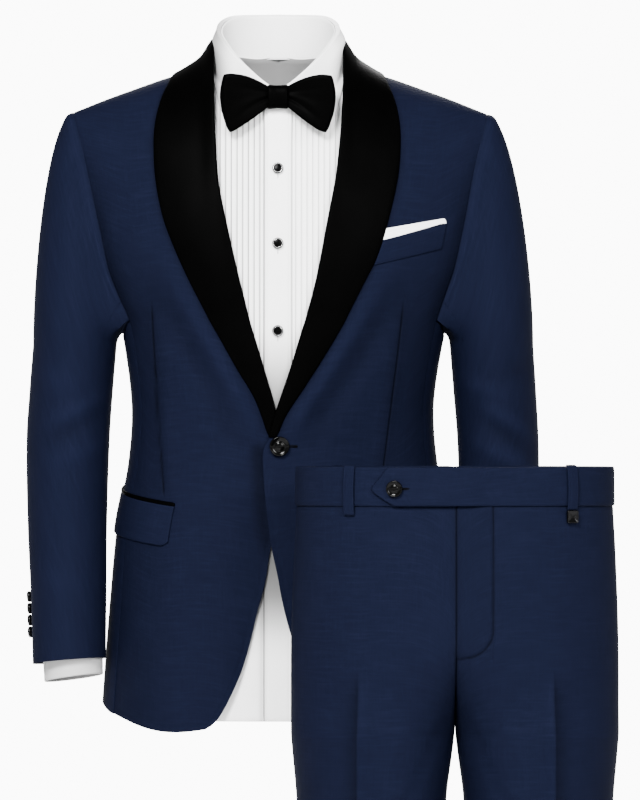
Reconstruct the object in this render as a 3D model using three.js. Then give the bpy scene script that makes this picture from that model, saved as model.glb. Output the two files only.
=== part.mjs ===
// A man's evening suit as it stands when worn: a one-button jacket with a satin shawl collar, a pleated dress
// shirt with studs, a bow tie, a pocket square, and the matching trousers standing in front of the jacket's
// left side. Millimetres, +Z up, -Y to the front, +X to the wearer's left. The origin lies between the two
// points where the shoulder seams meet the neck. "west" is the wearer's right side, "east" the left.
import * as THREE from "three";

// Cloth walls
const SUITING = 1.6;
const SATIN = 1.8;
const SHIRTING = 1.2;
const COLLAR_CLOTH = 1.4;
const SEAM = 0.3; // gap between two pieces sewn together
const RIDGE_GAP = 0.6; // the same gap as a length on the chart at the shoulder ridge

// Sizes of the body form that the jacket hangs on
const CHEST = -275; // height of the armpits
const RISE = 408; // length of the chart from the chest to the shoulder ridge
const SQUARE = 2.3; // exponent of the body's cross-section
const ROUND = 2.2; // exponent of the rise from the chest to the shoulder
const SEAM_T = 0.93; // share of the half width where the front meets the side panel and the sleeve
const ARMPIT_DIP = 15;
const SHIRT_PIT = 16; // the shirt's armhole starts this much higher up the chart
const SHIRT_EASE = 9; // the shirt hangs this far inside the jacket

// Body sections: half widths to the wearer's right and left, and depths in front of and behind the shoulder
const TORSO = [
  { z: -730, west: 195, east: 201, front: 129, back: 124 },
  { z: -693, west: 193, east: 199, front: 128, back: 123 },
  { z: -598, west: 186, east: 192, front: 124, back: 121 },
  { z: -500, west: 177, east: 185, front: 119, back: 112 },
  { z: -461, west: 170, east: 179, front: 117, back: 106 },
  { z: -434, west: 165, east: 175, front: 116, back: 102 },
  { z: -394, west: 161, east: 171, front: 116, back: 99 },
  { z: -361, west: 161, east: 171, front: 117, back: 100 },
  { z: -317, west: 166, east: 177, front: 119, back: 105 },
  { z: -275, west: 174, east: 186, front: 120, back: 112 },
  { z: -245, west: 187, east: 196, front: 120, back: 115 },
  { z: -215, west: 199, east: 207, front: 120, back: 116 },
  { z: -166, west: 211, east: 219, front: 119, back: 116 },
  { z: -107, west: 225, east: 231, front: 118, back: 117 },
  { z: -47, west: 241, east: 247, front: 118, back: 122 },
  { z: 0, west: 252, east: 257, front: 118, back: 127 },
  { z: 60, west: 262, east: 267, front: 118, back: 132 },
];

// Height of the shoulder ridge by distance from the centre. Inside the neck it only steers the slope there.
const JACKET_RIDGE = [
  { x: 0, front: 75, back: 62 },
  { x: 40, front: 68, back: 54 },
  { x: 60, front: 50, back: 42 },
  { x: 71.5, front: 34, back: 31 },
  { x: 81, front: 17.5, back: 17.5 },
  { x: 90, front: 9, back: 9 },
  { x: 107, front: -0.5, back: -0.5 },
  { x: 130, front: -8.5, back: -8.5 },
  { x: 165, front: -22.5, back: -22.5 },
  { x: 200, front: -36.5, back: -36.5 },
  { x: 230, front: -48.5, back: -48.5 },
  { x: 260, front: -60, back: -60 },
];
const SHIRT_RIDGE = [
  { x: 0, front: 34, back: 62 },
  { x: 40, front: 27, back: 37 },
  { x: 60, front: 14, back: 18 },
  { x: 72, front: 7, back: 7 },
  { x: 85, front: 0, back: 0 },
  { x: 107, front: -9.5, back: -9.5 },
  { x: 130, front: -17.5, back: -17.5 },
  { x: 165, front: -31.5, back: -31.5 },
  { x: 200, front: -48.5, back: -48.5 },
  { x: 260, front: -76, back: -76 },
];

// Vector and table helpers
const add = (a, b, k = 1) => [a[0] + k * b[0], a[1] + k * b[1], a[2] + k * b[2]];
const lerp = (a, b, t) => a + (b - a) * t;
const mix = (a, b, t) => a.map((value, i) => lerp(value, b[i], t));
const clamp = (t, low = 0, high = 1) => Math.min(high, Math.max(low, t));
const smooth = (t) => clamp(t) ** 2 * (3 - 2 * clamp(t));
const cross = (a, b) => [a[1] * b[2] - a[2] * b[1], a[2] * b[0] - a[0] * b[2], a[0] * b[1] - a[1] * b[0]];
const unit = (a) => {
  const length = Math.hypot(...a) || 1;
  return a.map((value) => value / length);
};
const steps = (n) => Array.from({ length: n + 1 }, (_, i) => i / n);
const radians = (degrees) => (degrees * Math.PI) / 180;

// A smooth curve through one column of a table, straight beyond its ends
function fit(rows, key, column) {
  const k = rows.map((row) => row[key]);
  const v = rows.map((row) => row[column]);
  const last = k.length - 1;
  const slope = k.map((_, i) => {
    const low = Math.max(0, i - 1);
    const high = Math.min(last, i + 1);
    return (v[high] - v[low]) / (k[high] - k[low]);
  });
  return (t) => {
    if (t <= k[0]) return v[0] + slope[0] * (t - k[0]);
    if (t >= k[last]) return v[last] + slope[last] * (t - k[last]);
    let i = 0;
    while (t > k[i + 1]) i += 1;
    const span = k[i + 1] - k[i];
    const s = (t - k[i]) / span;
    const rest = 1 - s;
    return (
      v[i] * (1 + 2 * s) * rest * rest +
      slope[i] * span * s * rest * rest +
      v[i + 1] * s * s * (3 - 2 * s) -
      slope[i + 1] * span * s * s * rest
    );
  };
}

// A polyline read by its share of length
function alongLine(points) {
  const at = [0];
  for (let i = 1; i < points.length; i += 1) {
    at.push(at[i - 1] + Math.hypot(...add(points[i], points[i - 1], -1)));
  }
  const total = at[at.length - 1];
  return (share) => {
    const target = clamp(share) * total;
    let i = 0;
    while (i < points.length - 2 && at[i + 1] < target) i += 1;
    return mix(points[i], points[i + 1], (target - at[i]) / (at[i + 1] - at[i]));
  };
}

// Materials
const cloth = (color, roughness, metalness = 0) =>
  new THREE.MeshStandardMaterial({ color, roughness, metalness });
const NAVY = cloth(0x1f2a48, 0.85);
const BLACK_SATIN = cloth(0x0a0a0c, 0.35);
const WHITE = cloth(0xf2f2f2, 0.8);
const BLACK_GLOSS = cloth(0x080808, 0.2);
const DARK_METAL = cloth(0x4a4a4a, 0.3, 1);

const suit = new THREE.Group();

// Adds one closed body made of vertex rows, turned so that its faces point out
function addSolid(name, material, vertices, faces) {
  let volume = 0;
  for (const [a, b, c] of faces) {
    const n = cross(vertices[b], vertices[c]);
    volume += vertices[a][0] * n[0] + vertices[a][1] * n[1] + vertices[a][2] * n[2];
  }
  const index = faces.flatMap(([a, b, c]) => (volume < 0 ? [a, c, b] : [a, b, c]));
  const geometry = new THREE.BufferGeometry();
  geometry.setAttribute("position", new THREE.Float32BufferAttribute(vertices.flat(), 3));
  geometry.setIndex(index);
  geometry.computeVertexNormals();
  const mesh = new THREE.Mesh(geometry, material);
  mesh.name = name;
  suit.add(mesh);
  return mesh;
}

// The wall between two grids of points, outer[row][column] and inner[row][column]
function addWall(name, material, outer, inner, closed = false) {
  const rows = outer.length;
  const columns = outer[0].length;
  const vertices = [...outer.flat(), ...inner.flat()];
  const out = (j, i) => j * columns + (i % columns);
  const back = (j, i) => rows * columns + out(j, i);
  const faces = [];
  const quad = (a, b, c, d) => faces.push([a, b, c], [a, c, d]);
  const spans = closed ? columns : columns - 1;
  for (let j = 0; j + 1 < rows; j += 1) {
    for (let i = 0; i < spans; i += 1) {
      quad(out(j, i), out(j, i + 1), out(j + 1, i + 1), out(j + 1, i));
      quad(back(j, i), back(j + 1, i), back(j + 1, i + 1), back(j, i + 1));
    }
    if (!closed) {
      quad(out(j, 0), out(j + 1, 0), back(j + 1, 0), back(j, 0));
      quad(out(j + 1, columns - 1), out(j, columns - 1), back(j, columns - 1), back(j + 1, columns - 1));
    }
  }
  for (let i = 0; i < spans; i += 1) {
    quad(out(0, i + 1), out(0, i), back(0, i), back(0, i + 1));
    quad(out(rows - 1, i), out(rows - 1, i + 1), back(rows - 1, i + 1), back(rows - 1, i));
  }
  return addSolid(name, material, vertices, faces);
}

// A wall on a charted form: layout(s, v) gives chart places, and the lifts stand the two faces off the form
function addPanel(name, material, form, columns, rows, layout, outerLift, innerLift) {
  const grid = (lift) =>
    rows.map((v) =>
      columns.map((s) => {
        const [x, c] = layout(s, v);
        const height = typeof lift === "function" ? lift(x, c, s, v) : lift;
        return add(form.point(x, c), form.normal(x, c), height);
      }),
    );
  return addWall(name, material, grid(outerLift), grid(innerLift));
}

// A wall whose outer face is surface(u, v) and whose thickness goes in, against the face's normal
function addShell(name, material, us, vs, surface, thickness, facing = 1, closed = false, keep = (p) => p) {
  const nudge = 1e-3;
  const outer = vs.map((v) => us.map((u) => surface(u, v)));
  const inner = vs.map((v, j) =>
    us.map((u, i) => {
      const [u0, u1] = closed ? [u - nudge, u + nudge] : [Math.max(us[0], u - nudge), Math.min(us.at(-1), u + nudge)];
      const [v0, v1] = [Math.max(vs[0], v - nudge), Math.min(vs.at(-1), v + nudge)];
      const across = add(surface(u1, v), surface(u0, v), -1);
      const down = add(surface(u, v1), surface(u, v0), -1);
      return keep(add(outer[j][i], unit(cross(across, down)), -facing * thickness));
    }),
  );
  return addWall(name, material, outer, inner, closed);
}

// Body forms. A chart place is (x, c): c is 0 on the shoulder ridge, negative down the front and positive down
// the back, RISE at the chest and further by the drop below it.
const torso = Object.fromEntries(["west", "east", "front", "back"].map((k) => [k, fit(TORSO, "z", k)]));

function makeForm(inset, ridgeRows) {
  const ridges = { front: fit(ridgeRows, "x", "front"), back: fit(ridgeRows, "x", "back") };
  const faceOf = (c) => (c < 0 ? "front" : "back");
  const ridge = (x, c) => ridges[faceOf(c)](Math.abs(x));
  const half = (x, z) => (x < 0 ? torso.west(z) : torso.east(z)) - inset;
  const depth = (c, z) => torso[faceOf(c)](z) - inset;
  const height = (x, c) => {
    const climb = 1 - Math.abs(c) / RISE;
    if (climb <= 0) return CHEST + climb * RISE;
    return CHEST + (ridge(x, c) - CHEST) * Math.sin((climb * Math.PI) / 2);
  };
  const point = (x, c) => {
    const z = height(x, c);
    const climb = clamp(1 - Math.abs(c) / RISE);
    const rise = Math.sin((climb * Math.PI) / 2);
    const across = clamp(1 - (Math.abs(x) / half(x, z)) ** SQUARE) ** (1 / SQUARE);
    return [x, Math.sign(c || -1) * depth(c, z) * across * Math.sqrt(1 - rise ** ROUND), z];
  };
  const normal = (x, c) => {
    if (Math.abs(c) >= RISE) {
      const [, y, z] = point(x, c);
      const level = (px, py, pz) =>
        (Math.abs(px) / half(x, pz)) ** SQUARE + (Math.abs(py) / depth(c, pz)) ** SQUARE;
      const d = 0.5;
      return unit([
        level(x + d, y, z) - level(x - d, y, z),
        level(x, y + d, z) - level(x, y - d, z),
        level(x, y, z + d) - level(x, y, z - d),
      ]);
    }
    const d = 0.5;
    const across = add(point(x + d, c), point(x - d, c), -1);
    const up = add(point(x, c + d), point(x, c - d), -1);
    return unit(cross(across, up));
  };
  // Chart places from a height, or from a place in plan
  const atHeight = (x, z, face) => {
    const top = ridge(x, face);
    const drop = z <= CHEST ? z - CHEST : (RISE * 2 * Math.asin(clamp((z - CHEST) / (top - CHEST)))) / Math.PI;
    return Math.sign(face) * (RISE - drop);
  };
  const inPlan = (x, y, face) => {
    let z = 0;
    let c = 0;
    for (let i = 0; i < 8; i += 1) {
      const across = (1 - (Math.abs(x) / half(x, z)) ** SQUARE) ** (1 / SQUARE);
      const share = clamp(Math.abs(y) / (depth(face, z) * across));
      const rise = (1 - share * share) ** (1 / ROUND);
      c = Math.sign(face) * RISE * (1 - (2 * Math.asin(rise)) / Math.PI);
      z = height(x, c);
    }
    return c;
  };
  // Where the body form is cut for the sleeve, at share t of the half width
  const sideX = (side, c, t = SEAM_T) => {
    let x = side * 180;
    for (let i = 0; i < 8; i += 1) x = side * t * half(x, height(x, c));
    return x;
  };
  // Round the side below the armpit: turn runs from 0 at the front centre to pi at the back centre
  const sidePoint = (side, turn, z) => {
    const face = turn < Math.PI / 2 ? -1 : 1;
    const x = side * half(side, z) * Math.sin(turn) ** (2 / SQUARE);
    const y = face * depth(face, z) * Math.abs(Math.cos(turn)) ** (2 / SQUARE);
    return [x, y, z];
  };
  const sideNormal = (side, turn, z) => {
    const face = turn < Math.PI / 2 ? -1 : 1;
    return normal(sidePoint(side, turn, z)[0], face * (RISE + CHEST - z));
  };
  return { point, normal, height, atHeight, inPlan, sideX, sidePoint, sideNormal };
}
const jacketForm = makeForm(0, JACKET_RIDGE);
const shirtForm = makeForm(SHIRT_EASE, SHIRT_RIDGE);
const SEAM_TURN = Math.asin(SEAM_T ** (SQUARE / 2));

// An edge drawn in the front view, read as x by chart place
function edgeOnForm(form, rows, face) {
  const placed = rows.map((row) => ({ c: form.atHeight(row.x, row.z, face), x: row.x }));
  placed.sort((a, b) => a.c - b.c);
  return fit(placed, "c", "x");
}

// The jacket's edges in the front view, wearer's right
const WEST_FRONT_EDGE = [
  { x: -79, z: -721 }, { x: -70, z: -715 }, { x: -61, z: -703 }, { x: -50.6, z: -683 }, { x: -41, z: -661 },
  { x: -32.7, z: -635 }, { x: -23, z: -594 }, { x: -13.6, z: -559 }, { x: -7, z: -520 }, { x: 6, z: -480 },
  { x: 14, z: -445 }, { x: 14, z: -425 }, { x: 8, z: -410 }, { x: -3, z: -400 }, { x: -7, z: -372 },
  { x: -18.5, z: -328 },
  { x: -36, z: -268 }, { x: -49, z: -213 }, { x: -62, z: -154 }, { x: -69, z: -119 }, { x: -73, z: -79 },
  { x: -76, z: -44 }, { x: -78, z: -8.5 }, { x: -79, z: 21 },
];
const EAST_FRONT_EDGE = [
  { x: 68, z: -721 }, { x: 59, z: -714 }, { x: 50, z: -701 }, { x: 40, z: -680 }, { x: 27, z: -648 },
  { x: 15, z: -619 }, { x: 5.5, z: -583 }, { x: -0.5, z: -551 }, { x: -7, z: -520 }, { x: -13.6, z: -468 },
  { x: -16, z: -432 }, { x: -16, z: -418 }, { x: -13, z: -409 }, { x: -6.5, z: -400 }, { x: 2.5, z: -372 },
  { x: 17.5, z: -326 },
  { x: 31.5, z: -280 }, { x: 45.6, z: -228 }, { x: 58, z: -163 }, { x: 66.7, z: -119 }, { x: 72, z: -79 },
  { x: 77, z: -35 }, { x: 79, z: 0 }, { x: 79, z: 21 },
];

// The shawl collar: its roll line at the opening and its outer edge
const WEST_ROLL = [
  { x: 1, z: -402 }, { x: -2, z: -372 }, { x: -14.5, z: -327.5 }, { x: -32, z: -268 }, { x: -45.2, z: -213.4 },
  { x: -58.3, z: -154 }, { x: -65.3, z: -119 }, { x: -68.9, z: -78.7 }, { x: -71.5, z: -43.6 },
  { x: -72.7, z: -8.5 }, { x: -72.5, z: 33 },
];
const WEST_LAPEL = [
  { x: -9, z: -402 }, { x: -25, z: -359 }, { x: -42.6, z: -329 }, { x: -62, z: -294 }, { x: -81, z: -259 },
  { x: -97, z: -227.6 }, { x: -112.8, z: -192.5 }, { x: -125, z: -159 }, { x: -132.9, z: -118.8 },
  { x: -135.2, z: -78.7 }, { x: -133.8, z: -57.6 }, { x: -130.2, z: -40 }, { x: -125, z: -24.2 },
  { x: -119.9, z: -13.8 }, { x: -113, z: -2 },
];
const EAST_ROLL = [
  { x: -10.5, z: -402 }, { x: -2, z: -372 }, { x: 13.5, z: -325.6 }, { x: 27.5, z: -280 }, { x: 41.6, z: -227.6 },
  { x: 54, z: -162.7 }, { x: 62.7, z: -118.8 }, { x: 68, z: -78.6 }, { x: 72, z: -34.8 }, { x: 73.5, z: 0 },
  { x: 72.5, z: 33 },
];
const EAST_LAPEL = [
  { x: -2, z: -402 }, { x: 8.3, z: -378 }, { x: 27.5, z: -348.6 }, { x: 52, z: -310 }, { x: 71.4, z: -276.6 },
  { x: 95.9, z: -227.6 }, { x: 106.5, z: -206.5 }, { x: 117, z: -175 }, { x: 130, z: -118.8 },
  { x: 133.3, z: -78.7 }, { x: 131.9, z: -53.9 }, { x: 127.5, z: -33 }, { x: 120.6, z: -15.4 }, { x: 113, z: -2 },
];

// The right front goes under the left at the button, so it sinks there, and its lapel with it
const LAP_DEPTH = 5.2;
const lapSink = (side, x) => (side < 0 ? LAP_DEPTH * smooth((x + 62) / 46) : 0);
const frontEdge = {
  "-1": edgeOnForm(jacketForm, WEST_FRONT_EDGE, -1),
  1: edgeOnForm(jacketForm, EAST_FRONT_EDGE, -1),
};
const HEM_CORNER = -721;
// Heights of the fronts' rows at the opening, close together at the button and the armpit
const FRONT_ROWS = [
  -721, -690, -645, -590, -520, -455, -414, -400.4, -372, -330, -290, -262, -235, -200, -160, -119, -70, -25,
  0, 13,
];
const SIDE_HEM = -700;
const HEM_BELLY = 10;

function addJacketFront(name, side) {
  const low = jacketForm.atHeight(side * 79, HEM_CORNER, -1);
  const lowSide = jacketForm.atHeight(side * 180, SIDE_HEM, -1);
  const layout = (s, v) => {
    const inner = low * (1 - v);
    const outer = lowSide * (1 - v);
    const c = lerp(inner, outer, s) - HEM_BELLY * Math.sin(Math.PI * s) * (1 - v) ** 4;
    const edge = frontEdge[side](inner);
    const seam = jacketForm.sideX(side, Math.min(outer, -0.01)) - side * SEAM;
    return [lerp(edge, seam, s), Math.min(c, -RIDGE_GAP)];
  };
  const rows = [...FRONT_ROWS.map((z) => 1 - jacketForm.atHeight(side * 79, z, -1) / low), 1];
  const lift = (height) => (x) => height - lapSink(side, x);
  addPanel(name, NAVY, jacketForm, steps(8), rows, layout, lift(SUITING), lift(0));
}
addJacketFront("jacket_front_right", -1);
addJacketFront("jacket_front_left", 1);

// Side panels, from the front seam round to the back seam
const sideHem = (turn) => lerp(SIDE_HEM, -704, (turn - SEAM_TURN) / (Math.PI - 2 * SEAM_TURN));
const armholeFloor = (form, turn) => {
  const across = (turn - SEAM_TURN) / (Math.PI - 2 * SEAM_TURN);
  return form === shirtForm ? CHEST + SHIRT_PIT : CHEST - ARMPIT_DIP * Math.sin(Math.PI * clamp(across)) ** 1.5;
};
function addSidePanel(name, side) {
  const seamTurn = SEAM_TURN + 0.006;
  const columns = steps(5).map((s) => lerp(seamTurn, Math.PI - seamTurn, s));
  const grid = (lift) =>
    steps(9).map((v) =>
      columns.map((turn) => {
        const z = lerp(sideHem(turn), armholeFloor(jacketForm, turn), v);
        return add(jacketForm.sidePoint(side, turn, z), jacketForm.sideNormal(side, turn, z), lift);
      }),
    );
  addWall(name, NAVY, grid(SUITING), grid(0));
}
addSidePanel("jacket_side_right", -1);
addSidePanel("jacket_side_left", 1);

// Backs, joined down the centre, with the neckline between the shoulder seams
const NECK_X = 79;
const NAPE = 12;
const NECK_SHARE = 0.4;
const BACK_ROWS = [-706, -640, -570, -500, -434, -361, -310, -280, -260, -235, -200, -155, -105, -65, -38, -23];
function addJacketBack(name, side) {
  const low = jacketForm.atHeight(0, -706, 1);
  const layout = (s, v) => {
    const toNeck = clamp(s / NECK_SHARE);
    const topX = s < NECK_SHARE ? NECK_X * toNeck : lerp(NECK_X, 225, (s - NECK_SHARE) / (1 - NECK_SHARE));
    const napeC = jacketForm.atHeight(topX, lerp(NAPE, 16, toNeck ** 3), 1) * (1 - toNeck ** 14);
    const topC = Math.max(s < NECK_SHARE ? napeC : 0, RIDGE_GAP);
    const c = lerp(low, topC, v);
    const seam = jacketForm.sideX(side, Math.max(c, 0.01)) - side * SEAM;
    const spread = lerp(s, topX / 225, v ** 3);
    return [lerp(side * SEAM * 0.5, seam, spread), c];
  };
  const columns = [0, 0.2, 0.34, 0.4, 0.455, 0.54, 0.75, 1];
  const rows = [...BACK_ROWS.map((z) => 1 - jacketForm.atHeight(150 * side, z, 1) / low), 1];
  addPanel(name, NAVY, jacketForm, columns, rows, layout, SUITING, 0);
}
addJacketBack("jacket_back_right", -1);
addJacketBack("jacket_back_left", 1);

// Shawl collar. Its base runs from the button up the roll line to the shoulder ridge, at v = 1, and on round
// the back of the neck to the centre back, at v = 2. s goes from the roll line, 0, to the outer edge, 1.
const rolls = { "-1": edgeOnForm(jacketForm, WEST_ROLL, -1), 1: edgeOnForm(jacketForm, EAST_ROLL, -1) };
const lapels = { "-1": edgeOnForm(jacketForm, WEST_LAPEL, -1), 1: edgeOnForm(jacketForm, EAST_LAPEL, -1) };
const LAPEL_FOOT = -400.8;
const LAPEL_LIFT = 4.5; // outer face of the satin over the form
const ROLL_RADIUS = 2.2;
const COLLAR_PLAN = [
  { turn: 0, roll: 72.5, edge: 113, rollZ: 33, edgeZ: -3 },
  { turn: 30, roll: 73, edge: 101, rollZ: 36, edgeZ: -17 },
  { turn: 60, roll: 71, edge: 94, rollZ: 40, edgeZ: -20 },
  { turn: 90, roll: 70, edge: 89, rollZ: 42, edgeZ: -22 },
];
const plan = Object.fromEntries(
  ["roll", "edge", "rollZ", "edgeZ"].map((k) => [k, fit(COLLAR_PLAN, "turn", k)]),
);
function collarBase(side, s, v) {
  if (v <= 1) {
    const c = jacketForm.atHeight(0, LAPEL_FOOT, -1) * (1 - v);
    return jacketForm.point(lerp(rolls[side](c), lapels[side](c), s), Math.min(c, -0.01));
  }
  const turn = 90 * (v - 1);
  const radius = lerp(plan.roll(turn), plan.edge(turn), s);
  const shoulder = jacketForm.height(radius, -0.01);
  const fall = lerp(plan.rollZ(turn), plan.edgeZ(turn), clamp(s) ** 1.35);
  const z = lerp(shoulder, fall, smooth(turn / 50));
  return [side * radius * Math.cos(radians(turn)), radius * Math.sin(radians(turn)), z];
}
function collarNormal(side, s, v) {
  const d = 2e-3;
  const across = add(collarBase(side, s + 0.02, v), collarBase(side, s - 0.02, v), -1);
  const onward = add(collarBase(side, s, v + d), collarBase(side, s, v - d), -1);
  return unit(cross(across, onward)).map((value) => side * value);
}
// Across the strip: q below 1 lies flat from the outer edge to the roll, and q from 1 to 2 rolls under
function collarSurface(side, q, v) {
  const width = Math.hypot(...add(collarBase(side, 1, v), collarBase(side, 0, v), -1));
  const rollShare = ROLL_RADIUS / width;
  const angle = Math.PI * clamp(q - 1);
  const s = q <= 1 ? lerp(1, rollShare, q) : rollShare * (1 - Math.sin(angle));
  const belly = q <= 1 ? 1.6 * Math.sin(Math.PI * q) * smooth(v / 0.2) : 0;
  const sink = v < 1 ? lapSink(side, collarBase(side, s, v)[0]) : 0;
  const lift = LAPEL_LIFT + belly - ROLL_RADIUS * (1 - Math.cos(angle)) - sink;
  const place = add(collarBase(side, s, v), collarNormal(side, s, v), lift);
  return v > 1 ? [side * Math.max(side * place[0], 0.35), place[1], place[2]] : place;
}
function addShawl(name, side) {
  const across = [0, 0.3, 0.55, 0.8, 1, 1.33, 1.67, 2];
  const along = [...steps(14), ...steps(6).slice(1).map((t) => 1 + t * 0.997)];
  const keep = ([x, y, z]) => [y > 60 ? side * Math.max(side * x, 0.3) : x, y, z];
  addShell(name, BLACK_SATIN, across, along, (q, v) => collarSurface(side, q, v), SATIN, -side, false, keep);
}
addShawl("shawl_collar_right", -1);
addShawl("shawl_collar_left", 1);

// Sleeves. Each starts at the armhole and turns down into level rings. alpha goes round from the underarm, 0,
// by the front, 0.25, to the top, 0.5. Down the sleeve w is 0 at the armhole, 1 at the first ring, 2 at the hem.
const SLEEVE = {
  "-1": [
    { z: -646, x: -229.9, y: -52, half: 40.3, deep: 48 },
    { z: -573, x: -231, y: -37, half: 41.8, deep: 51.5 },
    { z: -499, x: -232.8, y: -22, half: 43.8, deep: 55 },
    { z: -405, x: -232.4, y: -8, half: 46, deep: 60 },
    { z: -350, x: -229, y: -3, half: 46.2, deep: 62 },
    { z: -300, x: -225, y: -1, half: 46.3, deep: 64 },
  ],
  1: [
    { z: -646, x: 241, y: -52, half: 40.3, deep: 48 },
    { z: -573, x: 243, y: -37, half: 41.8, deep: 51.5 },
    { z: -499, x: 244.5, y: -22, half: 43.8, deep: 55 },
    { z: -405, x: 243, y: -8, half: 45, deep: 60 },
    { z: -350, x: 239.5, y: -3, half: 45.8, deep: 62 },
    { z: -300, x: 236, y: -1, half: 46.3, deep: 64 },
  ],
};
const FIRST_RING = -300;
const ARMHOLE_STEP = 1.2; // the sleeve starts this far outside the body panels
const CAP_TOP = 78;
const CAP_UNDER = 7;
const CAP_SLOPE = 55;
const sleeveTable = (side) =>
  Object.fromEntries(["x", "y", "half", "deep"].map((k) => [k, fit(SLEEVE[side], "z", k)]));
const sleeveTables = { "-1": sleeveTable(-1), 1: sleeveTable(1) };

function armholeLoop(form, side) {
  const dense = 60;
  const floorPart = (from, to) =>
    steps(12).map((t) => {
      const turn = lerp(from, to, t);
      return form.sidePoint(side, turn, armholeFloor(form, turn));
    });
  const climbPart = (face) =>
    steps(dense)
      .slice(1)
      .map((t) => {
        const start = form === shirtForm ? RISE - SHIRT_PIT : RISE;
        const c = face * Math.max(start * (1 - t), 0.01);
        return form.point(form.sideX(side, c), c);
      });
  const front = alongLine([...floorPart(Math.PI / 2, SEAM_TURN), ...climbPart(-1)]);
  const back = alongLine([...floorPart(Math.PI / 2, Math.PI - SEAM_TURN), ...climbPart(1)]);
  return (alpha) => {
    const a = alpha - Math.floor(alpha);
    return a <= 0.5 ? front(2 * a) : back(2 * (1 - a));
  };
}
const jacketLoops = { "-1": armholeLoop(jacketForm, -1), 1: armholeLoop(jacketForm, 1) };
const shirtLoops = { "-1": armholeLoop(shirtForm, -1), 1: armholeLoop(shirtForm, 1) };
const hemTilt = (alpha) => -648 - 4.5 * Math.cos(2 * Math.PI * (alpha - 0.62));

function sleeveRing(side, alpha, z, inset) {
  const table = sleeveTables[side];
  const angle = 2 * Math.PI * alpha;
  const x = table.x(z) - side * (table.half(z) - inset) * Math.cos(angle);
  return [x, table.y(z) - (table.deep(z) - inset) * Math.sin(angle), z];
}
function sleeveSurface(loops, side, alpha, w, inset = 0) {
  if (w > 1) return sleeveRing(side, alpha, lerp(FIRST_RING, hemTilt(alpha), w - 1), inset);
  const height = (1 - Math.cos(2 * Math.PI * alpha)) / 2;
  const step = ARMHOLE_STEP + 1.1 * Math.exp(-(((height - 0.24) / 0.17) ** 2));
  const start = add(loops[side](alpha), [side * step, 0, 2.4 * (1 - height) ** 6 + 0.8 * height ** 4]);
  const end = sleeveRing(side, alpha, FIRST_RING, inset);
  const span = Math.hypot(...add(end, start, -1));
  const outward = [side * lerp(CAP_UNDER + inset, CAP_TOP * (1 - 0.06 * inset), height), 0, -CAP_SLOPE * 4 * height * (1 - height) + 6];
  const downward = [0, 0, -1.05 * span];
  const rest = 1 - w;
  const along = add(
    start.map((value) => value * (1 + 2 * w) * rest * rest),
    outward,
    w * rest * rest,
  );
  return add(add(along, end, w * w * (3 - 2 * w)), downward, -w * w * rest);
}
const FRONT_SPLIT = 0.13;
const backSplit = (w) => lerp(0.8, 0.585, smooth(w / 2));
const TOP_COLUMNS = [0, 0.16, 0.3, 0.41, 0.47, 0.5, 0.53, 0.59, 0.72, 0.86, 1];
const SLEEVE_ROWS = [0, 0.1, 0.22, 0.4, 0.6, 0.8, 1, ...steps(6).slice(1).map((t) => 1 + t)];

function addSleeve(side, label) {
  const gap = 0.0009;
  const upper = (u, w) => {
    const alpha = u < 0.5 ? lerp(FRONT_SPLIT + gap, 0.5, 2 * u) : lerp(0.5, backSplit(w) - gap, 2 * u - 1);
    return sleeveSurface(jacketLoops, side, alpha, w);
  };
  const under = (u, w) =>
    sleeveSurface(jacketLoops, side, lerp(backSplit(w) + gap, 1 + FRONT_SPLIT - gap, u), w);
  addShell(`sleeve_top_${label}`, NAVY, TOP_COLUMNS, SLEEVE_ROWS, upper, SUITING, -side);
  addShell(`sleeve_under_${label}`, NAVY, steps(6), SLEEVE_ROWS, under, SUITING, -side);
}
addSleeve(-1, "right");
addSleeve(1, "left");

// Round buttons with a raised rim, turned on their own axis and then set on the cloth
function addButton(name, material, diameter, thickness, at, facing) {
  const r = diameter / 2;
  const profile = [
    [0, 0], [r * 0.7, 0], [r, thickness * 0.5], [r * 0.88, thickness], [r * 0.72, thickness * 0.82],
    [0, thickness * 0.72],
  ].map(([x, y]) => new THREE.Vector2(x, y));
  const mesh = new THREE.Mesh(new THREE.LatheGeometry(profile, diameter > 15 ? 20 : 10), material);
  mesh.name = name;
  mesh.position.set(...at);
  mesh.quaternion.setFromUnitVectors(new THREE.Vector3(0, 1, 0), new THREE.Vector3(...facing));
  suit.add(mesh);
}
const onJacket = (x, z, lift) => {
  const c = jacketForm.atHeight(x, z, -1);
  return { at: add(jacketForm.point(x, c), jacketForm.normal(x, c), lift), facing: jacketForm.normal(x, c) };
};
const FRONT_BUTTON = { x: 2, z: -412.4, diameter: 22, thickness: 5 };
const frontButton = onJacket(FRONT_BUTTON.x, FRONT_BUTTON.z, SUITING + 0.5);
addButton("front_button", BLACK_GLOSS, FRONT_BUTTON.diameter, FRONT_BUTTON.thickness, frontButton.at, frontButton.facing);

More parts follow.
